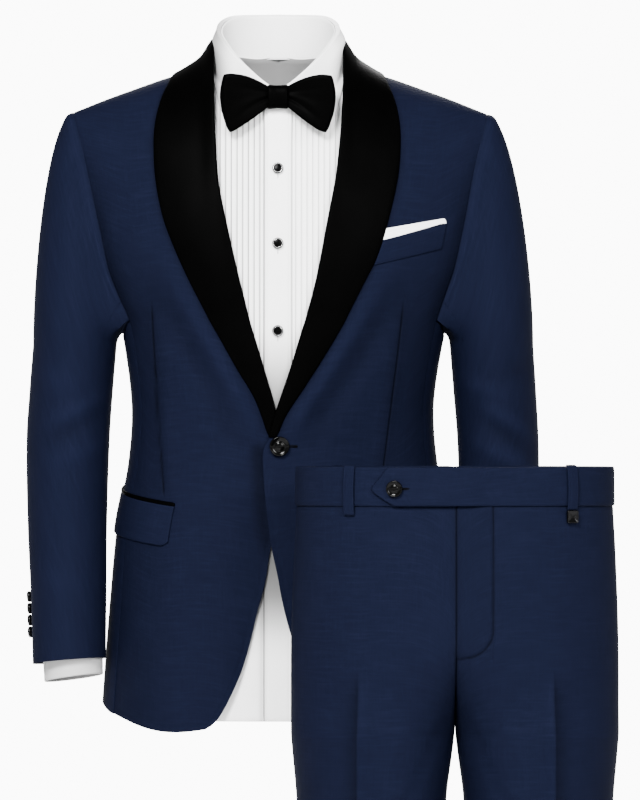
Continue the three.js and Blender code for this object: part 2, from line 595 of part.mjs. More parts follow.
// Four cuff buttons on each sleeve, in front of the back seam
const CUFF_BUTTON = { count: 4, diameter: 12.4, thickness: 4.6, low: -616.5, pitch: 13 };
for (const [side, label] of [[-1, "right"], [1, "left"]]) {
  for (let i = 0; i < CUFF_BUTTON.count; i += 1) {
    const z = CUFF_BUTTON.low + i * CUFF_BUTTON.pitch;
    const alpha = 0.545;
    const w = 1 + (FIRST_RING - z) / (FIRST_RING - hemTilt(alpha));
    const here = sleeveSurface(jacketLoops, side, alpha, w);
    const across = add(sleeveSurface(jacketLoops, side, alpha + 0.005, w), sleeveSurface(jacketLoops, side, alpha - 0.005, w), -1);
    const down = add(sleeveSurface(jacketLoops, side, alpha, w + 0.01), sleeveSurface(jacketLoops, side, alpha, w - 0.01), -1);
    const facing = unit(cross(across, down)).map((value) => -side * value);
    addButton(`cuff_button_${label}_${i + 1}`, BLACK_GLOSS, CUFF_BUTTON.diameter, CUFF_BUTTON.thickness, add(here, facing, 0.9), facing);
  }
}

// Hip pockets: a flap over the front seam on each side, under a narrow satin jetting
const FLAP = { start: 38.5, end: 100, drop: 44, frontZ: -474.5, backZ: -455, jetting: 3.2 };
function addHipPocket(side, label) {
  const band = (top, bottom, u0, u1, lift, taper) => (base) =>
    steps(2).map((v) =>
      steps(9).map((u) => {
        const turn = radians(lerp(u0, u1, u) + taper * (1 - 2 * u) * v);
        const line = lerp(FLAP.frontZ, FLAP.backZ, (turn - radians(FLAP.start)) / radians(FLAP.end - FLAP.start));
        const z = line + lerp(top, bottom, v);
        return add(jacketForm.sidePoint(side, turn, z), jacketForm.sideNormal(side, turn, z), lift + base);
      }),
    );
  const jetting = band(0, -FLAP.jetting, FLAP.start, FLAP.end, SUITING + 0.7, 0);
  const flap = band(-FLAP.jetting - 0.4, -FLAP.jetting - FLAP.drop, FLAP.start, FLAP.end, SUITING + 0.7, 1.4);
  addWall(`pocket_jetting_${label}`, BLACK_SATIN, jetting(2), jetting(0));
  addWall(`pocket_flap_${label}`, NAVY, flap(SUITING), flap(0));
}
addHipPocket(-1, "right");
addHipPocket(1, "left");

// Breast pocket on the left front: a slanted welt beside the lapel, and the folded pocket square above it
const WELT = { x0: 110, x1: 181, lowZ0: -213, lowZ1: -194, rise: 21.5 };
const square = { rise0: 11.5, rise1: 4.5 };
function addOnChest(name, material, low, high, lift, thickness) {
  const place = (s, v) => {
    const z = lerp(low(s), high(s), v);
    const edge = lapels[1](jacketForm.atHeight(WELT.x0, z, -1)) + 1.2;
    const x = lerp(edge, WELT.x1 + 2.5 * v, s);
    return [x, jacketForm.atHeight(x, z, -1)];
  };
  addPanel(name, material, jacketForm, steps(7), steps(2), place, lift + thickness, lift);
}
const weltLow = (s) => lerp(WELT.lowZ0, WELT.lowZ1, s);
const weltHigh = (s) => weltLow(s) + WELT.rise;
addOnChest("breast_pocket_welt", NAVY, weltLow, weltHigh, SUITING + 0.4, 1.4);
const squareLow = (s) => weltHigh(s) + 0.5;
const squareHigh = (s) => squareLow(s) + lerp(square.rise0, square.rise1, s ** 1.5);
addOnChest("pocket_square", WHITE, squareLow, squareHigh, SUITING + 0.4, 1.2);

// The shirt's neck: an oval in plan, tilted up to the back
const NECK = { y: -11, half: 63.5, front: 68, back: 68 };
const neckPlan = (turn, extra = 0) => [
  (NECK.half + extra) * Math.sin(turn),
  NECK.y - ((Math.cos(turn) > 0 ? NECK.front : NECK.back) + extra) * Math.cos(turn),
];
const COLLAR_TOP = [
  { turn: 0, z: -19 }, { turn: 9, z: -15.4 }, { turn: 30, z: 3.7 }, { turn: 49, z: 21 }, { turn: 65, z: 34 },
  { turn: 90, z: 46 }, { turn: 115, z: 55.5 }, { turn: 135, z: 60 }, { turn: 180, z: 61.5 },
];
const LEAF_LOW = [
  { turn: 44, z: -62, flare: 3 }, { turn: 60, z: -44, flare: 5 }, { turn: 75, z: -12, flare: 6.5 },
  { turn: 90, z: 14, flare: 7.5 }, { turn: 120, z: 16, flare: 7.5 }, { turn: 150, z: 17, flare: 7.5 },
  { turn: 180, z: 19, flare: 7.5 },
];
const degrees = (turn) => Math.abs((turn * 180) / Math.PI);
const collarTop = fit(COLLAR_TOP, "turn", "z");
const leafLow = fit(LEAF_LOW, "turn", "z");
const leafFlare = fit(LEAF_LOW, "turn", "flare");

// Shirt fronts, with eight vertical tucks on each side of the placket, and the back
const SHIRT_HEM = -712;
const TUCK = { first: 17, pitch: 6.2, count: 8, height: 1.1, low: -455 };
const TUCK_EDGE = TUCK.first + TUCK.pitch * TUCK.count;
const tuckLift = (x, z) => {
  const place = (Math.abs(x) - TUCK.first) / TUCK.pitch;
  if (place <= 0 || place >= TUCK.count) return 0;
  const share = place - Math.floor(place);
  return TUCK.height * (1 - Math.abs(2 * share - 1)) * smooth((z - TUCK.low) / 20);
};
const neckRidge = Math.acos(clamp(NECK.y / NECK.front, -1, 1)); // turn where the neck crosses the shoulder ridge

const SIDE_T = 0.999999; // the shirt's side seam, just short of the side itself
function shirtEdge(side, c) {
  const t = lerp(SIDE_T, SEAM_T, smooth((RISE - 2 - Math.abs(c)) / 14));
  return shirtForm.sideX(side, c, t);
}
// Rows of the shirt from hem to shoulder, with a pair where the side seam ends and the armhole begins
function shirtRows(low, face) {
  const at = (c) => (low - face * c) / low;
  return [...steps(3).map((t) => t * at(RISE - 2)), at(RISE - 17), ...steps(5).map((t) => lerp(at(RISE - 60), 1, t))];
}
const neckC = (side, x) => shirtForm.inPlan(side * x, neckPlan(Math.asin(clamp(x / NECK.half)))[1], -1);
function addShirtFront(name, side) {
  const low = shirtForm.atHeight(0, SHIRT_HEM, -1);
  const tuckColumns = steps(TUCK.count * 2).map((t) => lerp(TUCK.first, TUCK_EDGE, t));
  const flat = [0.15, ...tuckColumns];
  const outer = 4;
  const columns = [...flat.map((x) => ({ x })), ...steps(outer).slice(1).map((t) => ({ t }))];
  const grid = (lift) =>
    shirtRows(low, -1).map((v) =>
      columns.map((column) => {
        const inner = Math.min(column.x ?? TUCK_EDGE, NECK.half - 1.5);
        const startC = lerp(low, neckC(side, Math.min(inner, TUCK_EDGE)) - SEAM, v);
        let x = side * (column.x ?? 0);
        let c = startC;
        if (column.t !== undefined) {
          c = lerp(low, -RIDGE_GAP, v);
          const share = Math.sin((column.t * Math.PI) / 2);
          c = lerp(startC, c, smooth(column.t * 1.6));
          x = lerp(side * TUCK_EDGE, shirtEdge(side, c), share);
        }
        const place = shirtForm.point(x, c);
        return add(place, shirtForm.normal(x, c), lift(x, place[2]));
      }),
    );
  addWall(name, WHITE, grid((x, z) => tuckLift(x, z)), grid(() => -SHIRTING));
}
addShirtFront("shirt_front_right", -1);
addShirtFront("shirt_front_left", 1);

function addShirtBack() {
  const low = shirtForm.atHeight(0, SHIRT_HEM, 1);
  const shares = [0, 0.24, 0.4, 0.46, 0.5, 0.57, 0.75, 0.94, 1];
  const columns = [...shares.slice(1).reverse().map((s) => -s), ...shares];
  const neckEnd = 0.46;
  const layout = (signed, v) => {
    const side = signed < 0 ? -1 : 1;
    const s = Math.abs(signed);
    const turn = lerp(Math.PI, neckRidge + 0.03, clamp(s / neckEnd));
    const [neckX, neckY] = neckPlan(turn);
    const topX = s <= neckEnd ? neckX : lerp(neckX, Math.abs(shirtForm.sideX(1, 0.01)), (s - neckEnd) / (1 - neckEnd));
    const topC = s <= neckEnd ? Math.max(shirtForm.inPlan(side * neckX, neckY, 1), RIDGE_GAP) : RIDGE_GAP;
    const c = lerp(low, topC, v);
    const edge = Math.abs(shirtEdge(side, Math.max(c, 0.01)));
    const spread = lerp(Math.sin((s * Math.PI) / 2), topX / Math.abs(shirtForm.sideX(1, 0.01)), v ** 3);
    return [side * spread * edge, c];
  };
  addPanel("shirt_back", WHITE, shirtForm, columns, shirtRows(low, 1), layout, 0, -SHIRTING);
}
addShirtBack();

// Placket over the join of the fronts, and the studs on it
const PLACKET = { half: 15.5, lift: 0.7, thickness: 1.2 };
function addPlacket() {
  const low = shirtForm.atHeight(0, SHIRT_HEM, -1);
  const high = neckC(1, 0) - 5;
  const layout = (s, v) => [lerp(-PLACKET.half, PLACKET.half, s), lerp(low, high, v)];
  const lift = PLACKET.lift;
  addPanel("shirt_placket", WHITE, shirtForm, steps(2), shirtRows(low, -1), layout, lift + PLACKET.thickness, lift);
}
addPlacket();
const STUD = { diameter: 11.4, thickness: 3.4, heights: [-105.5, -188, -284] };
STUD.heights.forEach((z, i) => {
  const c = shirtForm.atHeight(0, z, -1);
  const facing = shirtForm.normal(0, c);
  const at = add(shirtForm.point(0, c), facing, PLACKET.lift + PLACKET.thickness + 0.4);
  addButton(`shirt_stud_${i + 1}`, DARK_METAL, STUD.diameter, STUD.thickness, at, facing);
});

// Collar stand, leaf, and the band of the bow tie between them
const standFoot = (turn) => {
  const [x, y] = neckPlan(turn, 0.8);
  const face = y < 0 ? -1 : 1;
  return Math.min(shirtForm.height(x, shirtForm.inPlan(x, y, face)), collarTop(degrees(turn)) - 12) + 4.6;
};
const fullTurn = (u) => lerp(-Math.PI + 1e-4, Math.PI - 1e-4, u);
function addCollar() {
  const frontGap = radians(3);
  const standTurn = (u) => lerp(frontGap, 2 * Math.PI - frontGap, u);
  const wrap = (turn) => (turn > Math.PI ? turn - 2 * Math.PI : turn);
  const stand = (u, v) => {
    const turn = standTurn(u);
    const [x, y] = neckPlan(turn, lerp(0.8, -0.5, v));
    return [x, y, lerp(standFoot(wrap(turn)), collarTop(degrees(wrap(turn))) - 0.6, v)];
  };
  addShell("shirt_collar_stand", WHITE, steps(28), steps(1), stand, COLLAR_CLOTH, 1);
  const leafGap = radians(8.5);
  const leaf = (u, v) => {
    const turn = wrap(lerp(leafGap, 2 * Math.PI - leafGap, u));
    const sign = Math.sign(turn);
    const here = degrees(turn);
    const lowTurn = lerp(44, 180, clamp((here - 8.5) / 171.5) ** 0.9);
    const fold = 0.14;
    if (v <= fold) {
      const roll = (v / fold) * Math.PI * 0.5;
      const [x, y] = neckPlan(turn, 4.8 - 3.9 * Math.cos(roll));
      return [x, y, collarTop(here) + 1.6 * Math.sin(roll)];
    }
    const share = (v - fold) / (1 - fold);
    const bow = 1.5 * Math.sin(Math.PI * share);
    const flare = lerp(4.8, leafFlare(lowTurn), share) + bow;
    const [x, near] = neckPlan(lerp(turn, sign * radians(lowTurn), share), flare);
    const hang = lerp(collarTop(here) + 1.6, leafLow(lowTurn), share);
    const chest = shirtForm.point(x, shirtForm.atHeight(x, Math.min(hang, -8), -1))[1] - 4.2;
    const y = near < 0 ? lerp(near, Math.min(near, chest), smooth(-hang / 8)) : near;
    const shoulder = shirtForm.height(x, shirtForm.inPlan(x, y, y < 0 ? -1 : 1));
    return [x, y, Math.max(hang, shoulder + 5)];
  };
  const down = [0, 0.07, 0.14, 0.42, 0.7, 1];
  addShell("shirt_collar_leaf", WHITE, steps(28), down, leaf, SHIRTING, -1);
  const band = (u, v) => {
    const turn = fullTurn(u);
    const here = degrees(turn);
    const [x, y] = neckPlan(turn, 2.2);
    return [x, y, collarTop(here) - lerp(5.5, 14, smooth(here / 60)) - 12 * v];
  };
  const spans = steps(28).slice(0, -1);
  addShell("bow_tie_band", BLACK_SATIN, spans, [0, 1], band, 1.2, -1, true);
}
addCollar();

// Bow tie: two folded wings and the knot round their roots
const BOW = { knotY: -90.3, knotZ: -28.2, knotHalf: 10, knotTall: 12.8, knotDeep: 8.4 };
const WING_EDGE = {
  "-1": [
    { x: 4, top: -22, low: -35 }, { x: 12, top: -15.8, low: -40.5 }, { x: 32, top: -6.6, low: -55 },
    { x: 50, top: -3.3, low: -66 }, { x: 60, top: -4, low: -68 },
  ],
  1: [
    { x: 4, top: -22, low: -35 }, { x: 12, top: -15.8, low: -40.5 }, { x: 28, top: -8.5, low: -53 },
    { x: 46, top: -4.4, low: -65 }, { x: 60, top: -5.2, low: -68 },
  ],
};
const WING_END = [
  { t: 0, x: 60 }, { t: 0.3, x: 63.6 }, { t: 0.6, x: 62 }, { t: 0.85, x: 57.5 }, { t: 1, x: 54 },
];
const wingEnd = fit(WING_END, "t", "x");
function addWing(name, side) {
  const top = fit(WING_EDGE[side], "x", "top");
  const low = fit(WING_EDGE[side], "x", "low");
  const surface = (q, t) => {
    const bend = clamp((q - 0.42) / 0.16);
    const reach = q < 0.42 ? q / 0.42 : q > 0.58 ? (1 - q) / 0.42 : 1;
    const thick = 1.9 + 3.6 * smooth(reach);
    const end = wingEnd(t) - 5.2;
    const away = lerp(6, end, reach) + (bend > 0 && bend < 1 ? 5.2 * Math.sin(Math.PI * bend) : 0);
    const z = lerp(top(away), low(away), t);
    const across = q <= 0.42 ? -1 : q >= 0.58 ? 1 : -Math.cos(Math.PI * bend);
    const pleat = q < 0.5 ? 1.3 * Math.exp(-(((t - 0.5) / 0.16) ** 2)) * (1 - reach) : 0;
    const middle = BOW.knotY - 3.2 * smooth(reach * 1.4);
    return [side * away, middle + across * thick + pleat, z];
  };
  const across = [...steps(4).map((q) => q * 0.42), 0.46, 0.5, 0.54, ...steps(4).map((q) => 0.58 + q * 0.42)];
  addShell(name, BLACK_SATIN, across, steps(5), surface, 1.3, -side);
}
addWing("bow_tie_wing_right", -1);
addWing("bow_tie_wing_left", 1);
function addKnot() {
  const surface = (u, v) => {
    const angle = 2 * Math.PI * u;
    const x = lerp(-BOW.knotHalf, BOW.knotHalf, v);
    const flare = 1 + 0.06 * (2 * v - 1) ** 2;
    const squash = (value) => Math.sign(value) * Math.abs(value) ** 0.75;
    const y = BOW.knotY + BOW.knotDeep * flare * squash(Math.cos(angle));
    return [x, y, BOW.knotZ + BOW.knotTall * flare * squash(Math.sin(angle))];
  };
  addShell("bow_tie_knot", BLACK_SATIN, steps(16).slice(0, -1), steps(3), surface, 1.5, 1, true);
}
addKnot();

// Shirt sleeves inside the jacket's, and the cuffs that show below them
const CUFF = { top: -606, inset: 7.2, thickness: 1.6 };
const CUFF_PLAN = [
  { z: -672, x: 4.8, y: -56, half: 32.4, deep: 37 },
  { z: -600, x: 2.5, y: -44, half: 34, deep: 40 },
];
const cuffPlan = Object.fromEntries(["x", "y", "half", "deep"].map((k) => [k, fit(CUFF_PLAN, "z", k)]));
const cuffFoot = (alpha) => -666 - 5.2 * Math.cos(2 * Math.PI * (alpha - 0.6));
function addShirtSleeve(side, label) {
  const around = steps(14).slice(0, -1);
  const sleeve = (alpha, w) => sleeveSurface(shirtLoops, side, alpha, w, CUFF.inset);
  const end = 1 + (FIRST_RING - CUFF.top - 3) / (FIRST_RING + 648);
  const rows = [0, 0.12, 0.35, 0.65, 1, ...steps(3).slice(1).map((t) => lerp(1, end, t))];
  addShell(`shirt_sleeve_${label}`, WHITE, around, rows, sleeve, SHIRTING, -side, true);
  const cuff = (alpha, v) => {
    const z = lerp(CUFF.top, cuffFoot(alpha), v);
    const angle = 2 * Math.PI * alpha;
    const centre = sleeveTables[side].x(z) - side * cuffPlan.x(z);
    const x = centre - side * cuffPlan.half(z) * Math.cos(angle);
    return [x, cuffPlan.y(z) - cuffPlan.deep(z) * Math.sin(angle), z];
  };
  addShell(`shirt_cuff_${label}`, WHITE, steps(18).slice(0, -1), steps(2), cuff, CUFF.thickness, -side, true);
}
addShirtSleeve(-1, "right");
addShirtSleeve(1, "left");

// Trousers, about their own centre in plan
const TROUSERS = { x: 192, y: -230, waist: -433.5, band: -474, crotch: -718, hem: -1485 };
const HIP_ROUND = 2.2;
const HIPS = [
  { z: -1485, half: 176, front: 100, back: 110 },
  { z: -718, half: 176, front: 102, back: 108 },
  { z: -660, half: 177, front: 107, back: 113 },
  { z: -600, half: 176.5, front: 108, back: 114 },
  { z: -520, half: 173.5, front: 105, back: 110 },
  { z: -474, half: 171, front: 101, back: 105 },
  { z: -433, half: 170.5, front: 99, back: 100 },
];
const LEGS = [
  { z: -1485, x: 86, y: 8, half: 53, front: 62, back: 66 },
  { z: -1280, x: 88, y: 4, half: 58, front: 66, back: 72 },
  { z: -1080, x: 89.5, y: 0, half: 66, front: 73, back: 80 },
  { z: -900, x: 90.5, y: 0, half: 75, front: 86, back: 92 },
  { z: -789, x: 91, y: 0, half: 80.5, front: 97, back: 101 },
  { z: -718, x: 91, y: 0, half: 86.5, front: 102, back: 105 },
  { z: -560, x: 91, y: 0, half: 88, front: 106, back: 108 },
];
const hips = Object.fromEntries(["half", "front", "back"].map((k) => [k, fit(HIPS, "z", k)]));
const legs = Object.fromEntries(["x", "y", "half", "front", "back"].map((k) => [k, fit(LEGS, "z", k)]));
const power = (value, exponent) => Math.sign(value) * Math.abs(value) ** exponent;
const CREASE = { share: 0.567, height: 5, width: 0.05, top: -640 };
const HIP_SPREAD = 1.65; // lines the hip's columns up with the leg's, so that the crease runs straight
const CROTCH_START = { front: -600, back: -560 };
const CROTCH_CURVE = 2.3;

// s runs from the centre seam, and below the crotch from the inseam, to the side seam
function trouserSurface(side, face, s, z) {
  const far = face < 0 ? "front" : "back";
  const e = 2 / HIP_ROUND;
  const hipTurn = (Math.PI / 2) * s ** HIP_SPREAD;
  const hip = [hips.half(z) * power(Math.sin(hipTurn), e), face * hips[far](z) * power(Math.cos(hipTurn), e)];
  const legTurn = Math.PI * s;
  const leg = [
    legs.x(z) - legs.half(z) * power(Math.cos(legTurn), e),
    legs.y(z) + face * legs[far](z) * power(Math.sin(legTurn), e),
  ];
  const low = TROUSERS.crotch - 4;
  const share = clamp((CROTCH_START[far] - z) / (CROTCH_START[far] - low)) ** CROTCH_CURVE;
  const [x, y] = mix(hip, leg, share);
  const fold = Math.exp(-(((s - CREASE.share) / CREASE.width) ** 2)) * smooth((CREASE.top - z) / 90);
  return [TROUSERS.x + side * Math.max(x, 0.2), TROUSERS.y + y + face * CREASE.height * fold, z];
}
const TROUSER_ROWS = [
  ...steps(7).map((t) => lerp(TROUSERS.band - 0.4, -690, t)),
  -712, -735, -780, -860, -980, -1130, -1330, TROUSERS.hem,
];
for (const [side, label] of [[-1, "right"], [1, "left"]]) {
  for (const [face, part] of [[-1, "front"], [1, "back"]]) {
    const columns = [0.0006, 0.145, 0.3, 0.44, 0.52, 0.567, 0.614, 0.735, 0.875, 0.9993];
    const surface = (s, z) => trouserSurface(side, face, s, z);
    const rows = [...TROUSER_ROWS].reverse();
    const keep = ([x, y, z]) => [TROUSERS.x + side * Math.max(side * (x - TROUSERS.x), 0.2), y, z];
    addShell(`trouser_${part}_${label}`, NAVY, columns, rows, surface, SUITING, -side * face, false, keep);
  }
}

// Waistband: two halves joined at the back. The left one laps over the front and ends in a pointed tab.
const BAND_THICK = 2;
const TAB_LIFT = 3.9;
const TAB_END = [
  { v: 0, x: -64 }, { v: 0.2, x: -77 }, { v: 0.43, x: -87 }, { v: 0.72, x: -79 }, { v: 1, x: -71 },
];
const bandHeight = (v) => lerp(TROUSERS.band, TROUSERS.waist, v);
function waistPoint(turn, z, lift) {
  const face = Math.cos(turn) > 0 ? "front" : "back";
  const e = 2 / HIP_ROUND;
  const x = (hips.half(z) + lift) * power(Math.sin(turn), e);
  const y = -(hips[face](z) + lift) * power(Math.cos(turn), e);
  return [TROUSERS.x + x, TROUSERS.y + y, z];
}
const waistTurn = (x) => Math.sign(x) * Math.asin((Math.abs(x) / hips.half(TROUSERS.waist)) ** (HIP_ROUND / 2));
function addWaistband() {
  const rows = [0, 1];
  const right = (lift) =>
    rows.map((v) => steps(18).map((u) => waistPoint(lerp(-0.004, -Math.PI + 0.003, u), bandHeight(v), lift)));
  addWall("waistband_right", NAVY, right(BAND_THICK), right(0));
  const left = (base) =>
    TAB_END.map(({ v, x }) =>
      steps(20).map((u) => {
        const turn = lerp(waistTurn(x), Math.PI - 0.003, u ** 1.15);
        const lap = TAB_LIFT * (1 - smooth((turn - 0.03) / 0.16));
        return waistPoint(turn, bandHeight(v), base + lap);
      }),
    );
  addWall("waistband_left", NAVY, left(BAND_THICK), left(0));
}
addWaistband();

// The trousers' button on the tab, the belt loops, and the small plain metal keeper under one of them
const TAB_BUTTON = { x: -63.5, z: -456, diameter: 18, thickness: 4.6 };
function waistPlace(x, z, lift) {
  const turn = waistTurn(x);
  const at = waistPoint(turn, z, lift);
  const facing = unit(cross([0, 0, 1], add(waistPoint(turn + 0.01, z, lift), waistPoint(turn - 0.01, z, lift), -1)));
  return { at, facing: facing[1] > 0 && Math.abs(turn) < 1.5 ? facing.map((value) => -value) : facing };
}
const tabButton = waistPlace(TAB_BUTTON.x, TAB_BUTTON.z, TAB_LIFT + BAND_THICK + 0.4);
addButton("trouser_button", BLACK_GLOSS, TAB_BUTTON.diameter, TAB_BUTTON.thickness, tabButton.at, tabButton.facing);

const LOOP = { width: 11, thickness: 1.6, top: -431.6, low: -484, stand: 2.2 };
const LOOP_TURNS = [
  { name: "belt_loop_front_right", turn: waistTurn(-112), low: LOOP.low },
  { name: "belt_loop_front_left", turn: waistTurn(122), low: -478.6 },
  { name: "belt_loop_back_right", turn: -2.35, low: LOOP.low },
  { name: "belt_loop_back_left", turn: 2.35, low: LOOP.low },
];
const loopSpan = (turn) => {
  const step = 0.01;
  const reach = Math.hypot(...add(waistPoint(turn + step, -455, 0), waistPoint(turn - step, -455, 0), -1));
  return (LOOP.width * step) / reach;
};
for (const { name, turn, low } of LOOP_TURNS) {
  const half = loopSpan(turn);
  const strip = (base) =>
    steps(5).map((v) =>
      steps(2).map((u) => {
        const z = lerp(low, LOOP.top, v);
        const bow = LOOP.stand * Math.sin(Math.PI * v) ** 0.6;
        return waistPoint(turn + half * (2 * u - 1), z, BAND_THICK + 0.3 + bow + base);
      }),
    );
  addWall(name, NAVY, strip(LOOP.thickness), strip(0));
}
const KEEPER = { size: 13.5, thickness: 3, z: -486 };
function addKeeper() {
  const place = waistPlace(122, KEEPER.z, 2.2);
  const outline = new THREE.Shape();
  const h = KEEPER.size / 2;
  const r = 1.5;
  outline.moveTo(-h + r, -h).lineTo(h - r, -h).absarc(h - r, -h + r, r, -Math.PI / 2, 0);
  outline.lineTo(h, h - r).absarc(h - r, h - r, r, 0, Math.PI / 2);
  outline.lineTo(-h + r, h).absarc(-h + r, h - r, r, Math.PI / 2, Math.PI);
  outline.lineTo(-h, -h + r).absarc(-h + r, -h + r, r, Math.PI, Math.PI * 1.5);
  const plate = new THREE.ExtrudeGeometry(outline, { depth: KEEPER.thickness, bevelEnabled: false, curveSegments: 2 });
  const mesh = new THREE.Mesh(plate, DARK_METAL);
  mesh.name = "belt_loop_keeper";
  mesh.position.set(...place.at);
  const right = new THREE.Vector3(...cross([0, 0, 1], place.facing));
  const basis = new THREE.Matrix4().makeBasis(right, new THREE.Vector3(0, 0, 1), new THREE.Vector3(...place.facing));
  mesh.quaternion.setFromRotationMatrix(basis);
  suit.add(mesh);
}
addKeeper();

export default suit;
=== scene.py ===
import math

import bpy
import numpy as np
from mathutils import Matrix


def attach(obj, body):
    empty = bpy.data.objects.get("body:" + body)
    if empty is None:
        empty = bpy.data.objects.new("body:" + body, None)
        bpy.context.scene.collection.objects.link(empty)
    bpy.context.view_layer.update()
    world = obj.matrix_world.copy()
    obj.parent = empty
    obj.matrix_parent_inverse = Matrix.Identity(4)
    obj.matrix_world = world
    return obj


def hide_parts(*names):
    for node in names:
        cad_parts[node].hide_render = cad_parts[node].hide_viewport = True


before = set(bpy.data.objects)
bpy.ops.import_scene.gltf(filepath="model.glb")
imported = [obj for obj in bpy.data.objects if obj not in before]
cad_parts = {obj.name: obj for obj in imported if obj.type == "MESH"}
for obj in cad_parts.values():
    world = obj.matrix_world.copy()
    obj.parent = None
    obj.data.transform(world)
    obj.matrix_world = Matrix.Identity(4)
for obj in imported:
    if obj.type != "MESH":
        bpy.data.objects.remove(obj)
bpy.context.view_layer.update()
MM = 0.001
PI = math.pi

# Camera: square on to the front, far enough back for a nearly parallel view
CAMERA_AT = (0.0462, -9.84, -0.3608)
LENS, SENSOR, FAR_CLIP = 400, 36, 60
camera_data = bpy.data.cameras.new("camera")
camera_data.lens = LENS
camera_data.sensor_fit = "VERTICAL"
camera_data.sensor_height = SENSOR
camera_data.clip_end = FAR_CLIP
camera = bpy.data.objects.new("camera", camera_data)
camera.location = CAMERA_AT
camera.rotation_euler = (PI / 2, 0, 0)
bpy.context.collection.objects.link(camera)
bpy.context.scene.camera = camera


# Tables and curves
def table(names, *rows):
    return {name: np.array([row[i] for row in rows], float) for i, name in enumerate(names.split())}


def fit(rows, key, column):
    """A smooth curve through one column of a table, straight beyond its ends."""
    k, v = rows[key], rows[column]
    last = len(k) - 1
    low = np.maximum(np.arange(len(k)) - 1, 0)
    high = np.minimum(np.arange(len(k)) + 1, last)
    slope = (v[high] - v[low]) / (k[high] - k[low])

    def read(t):
        t = np.asarray(t, float)
        i = np.clip(np.searchsorted(k, t) - 1, 0, last - 1)
        span = k[i + 1] - k[i]
        s = (t - k[i]) / span
        rest = 1 - s
        inside = (
            v[i] * (1 + 2 * s) * rest**2
            + slope[i] * span * s * rest**2
            + v[i + 1] * s**2 * (3 - 2 * s)
            - slope[i + 1] * span * s**2 * rest
        )
        below = v[0] + slope[0] * (t - k[0])
        above = v[last] + slope[last] * (t - k[last])
        return np.where(t <= k[0], below, np.where(t >= k[last], above, inside))

    return read


def curves(rows, key):
    return {name: fit(rows, key, name) for name in rows if name != key}


def lerp(a, b, t):
    return a + (b - a) * t


def smooth(t):
    t = np.clip(t, 0, 1)
    return t * t * (3 - 2 * t)


def bell(t):
    return np.exp(-(t**2))


def rising(t, start, reach):
    """0 up to the start, and from there to 1 over the reach."""
    return smooth((t - start) / reach)


def falling(t, start, reach):
    """0 down to the start, and from there to 1 over the reach below it."""
    return smooth((start - t) / reach)


def hump(t, middle, reach):
    """1 at the middle, falling away on both sides."""
    return bell((t - middle) / reach)


def power(value, exponent):
    return np.sign(value) * np.abs(value) ** exponent


def unit(v):
    return v / np.maximum(np.linalg.norm(v, axis=-1, keepdims=True), 1e-9)


def points(x, y, z):
    return np.stack(np.broadcast_arrays(x, y, z), axis=-1).astype(float)


def along_line(line):
    """A polyline read by its share of length."""
    reach = join([0], np.cumsum(np.linalg.norm(np.diff(line, axis=0), axis=1)))
    share = reach / reach[-1]
    return lambda t: points(*(np.interp(np.clip(t, 0, 1), share, line[:, k]) for k in range(3)))


def join(*parts):
    return np.concatenate(parts)


def mesh_grid(us, vs):
    """Two arrays of the same shape, rows by v and columns by u."""
    return np.meshgrid(np.asarray(us, float), np.asarray(vs, float))


def share_grid(columns, rows):
    return mesh_grid(np.linspace(0, 1, columns), np.linspace(0, 1, rows))


def humps(rows, t):
    """The sum of soft humps, from a table of their middles, reaches and sizes."""
    return sum(size * hump(t, middle, reach) for middle, reach, size in zip(*rows.values()))


# The body form that the jacket and the shirt hang on
SUITING, SATIN, SHIRTING, COLLAR_CLOTH = 1.6, 1.8, 1.2, 1.4
TIE_CLOTH = {"band": 1.2, "knot": 1.5, "wing": 1.3}
SEAM, RIDGE_GAP = 0.3, 0.6
CHEST, RISE = -275, 408
SQUARE, ROUND = 2.3, 2.2
SEAM_T = 0.93
SEAM_TURN = math.asin(SEAM_T ** (SQUARE / 2))
ARMPIT_DIP, SHIRT_PIT, SHIRT_EASE = 15, 16, 9
TORSO = table(
    "z west east front back",
    (-730, 195, 201, 129, 124), (-693, 193, 199, 128, 123), (-598, 186, 192, 124, 121),
    (-500, 177, 185, 119, 112), (-461, 170, 179, 117, 106), (-434, 165, 175, 116, 102),
    (-394, 161, 171, 116, 99), (-361, 161, 171, 117, 100), (-317, 166, 177, 119, 105),
    (-275, 174, 186, 120, 112), (-245, 187, 196, 120, 115), (-215, 199, 207, 120, 116),
    (-166, 211, 219, 119, 116), (-107, 225, 231, 118, 117), (-47, 241, 247, 118, 122),
    (0, 252, 257, 118, 127), (60, 262, 267, 118, 132),
)
JACKET_RIDGE = table(
    "x front back",
    (0, 75, 62), (40, 68, 54), (60, 50, 42), (71.5, 34, 31), (81, 17.5, 17.5), (90, 9, 9),
    (107, -0.5, -0.5), (130, -8.5, -8.5), (165, -22.5, -22.5), (200, -36.5, -36.5), (230, -48.5, -48.5),
    (260, -60, -60),
)
SHIRT_RIDGE = table(
    "x front back",
    (0, 34, 62), (40, 27, 37), (60, 14, 18), (72, 7, 7), (85, 0, 0), (107, -9.5, -9.5), (130, -17.5, -17.5),
    (165, -31.5, -31.5), (200, -48.5, -48.5), (260, -76, -76),
)
torso = curves(TORSO, "z")


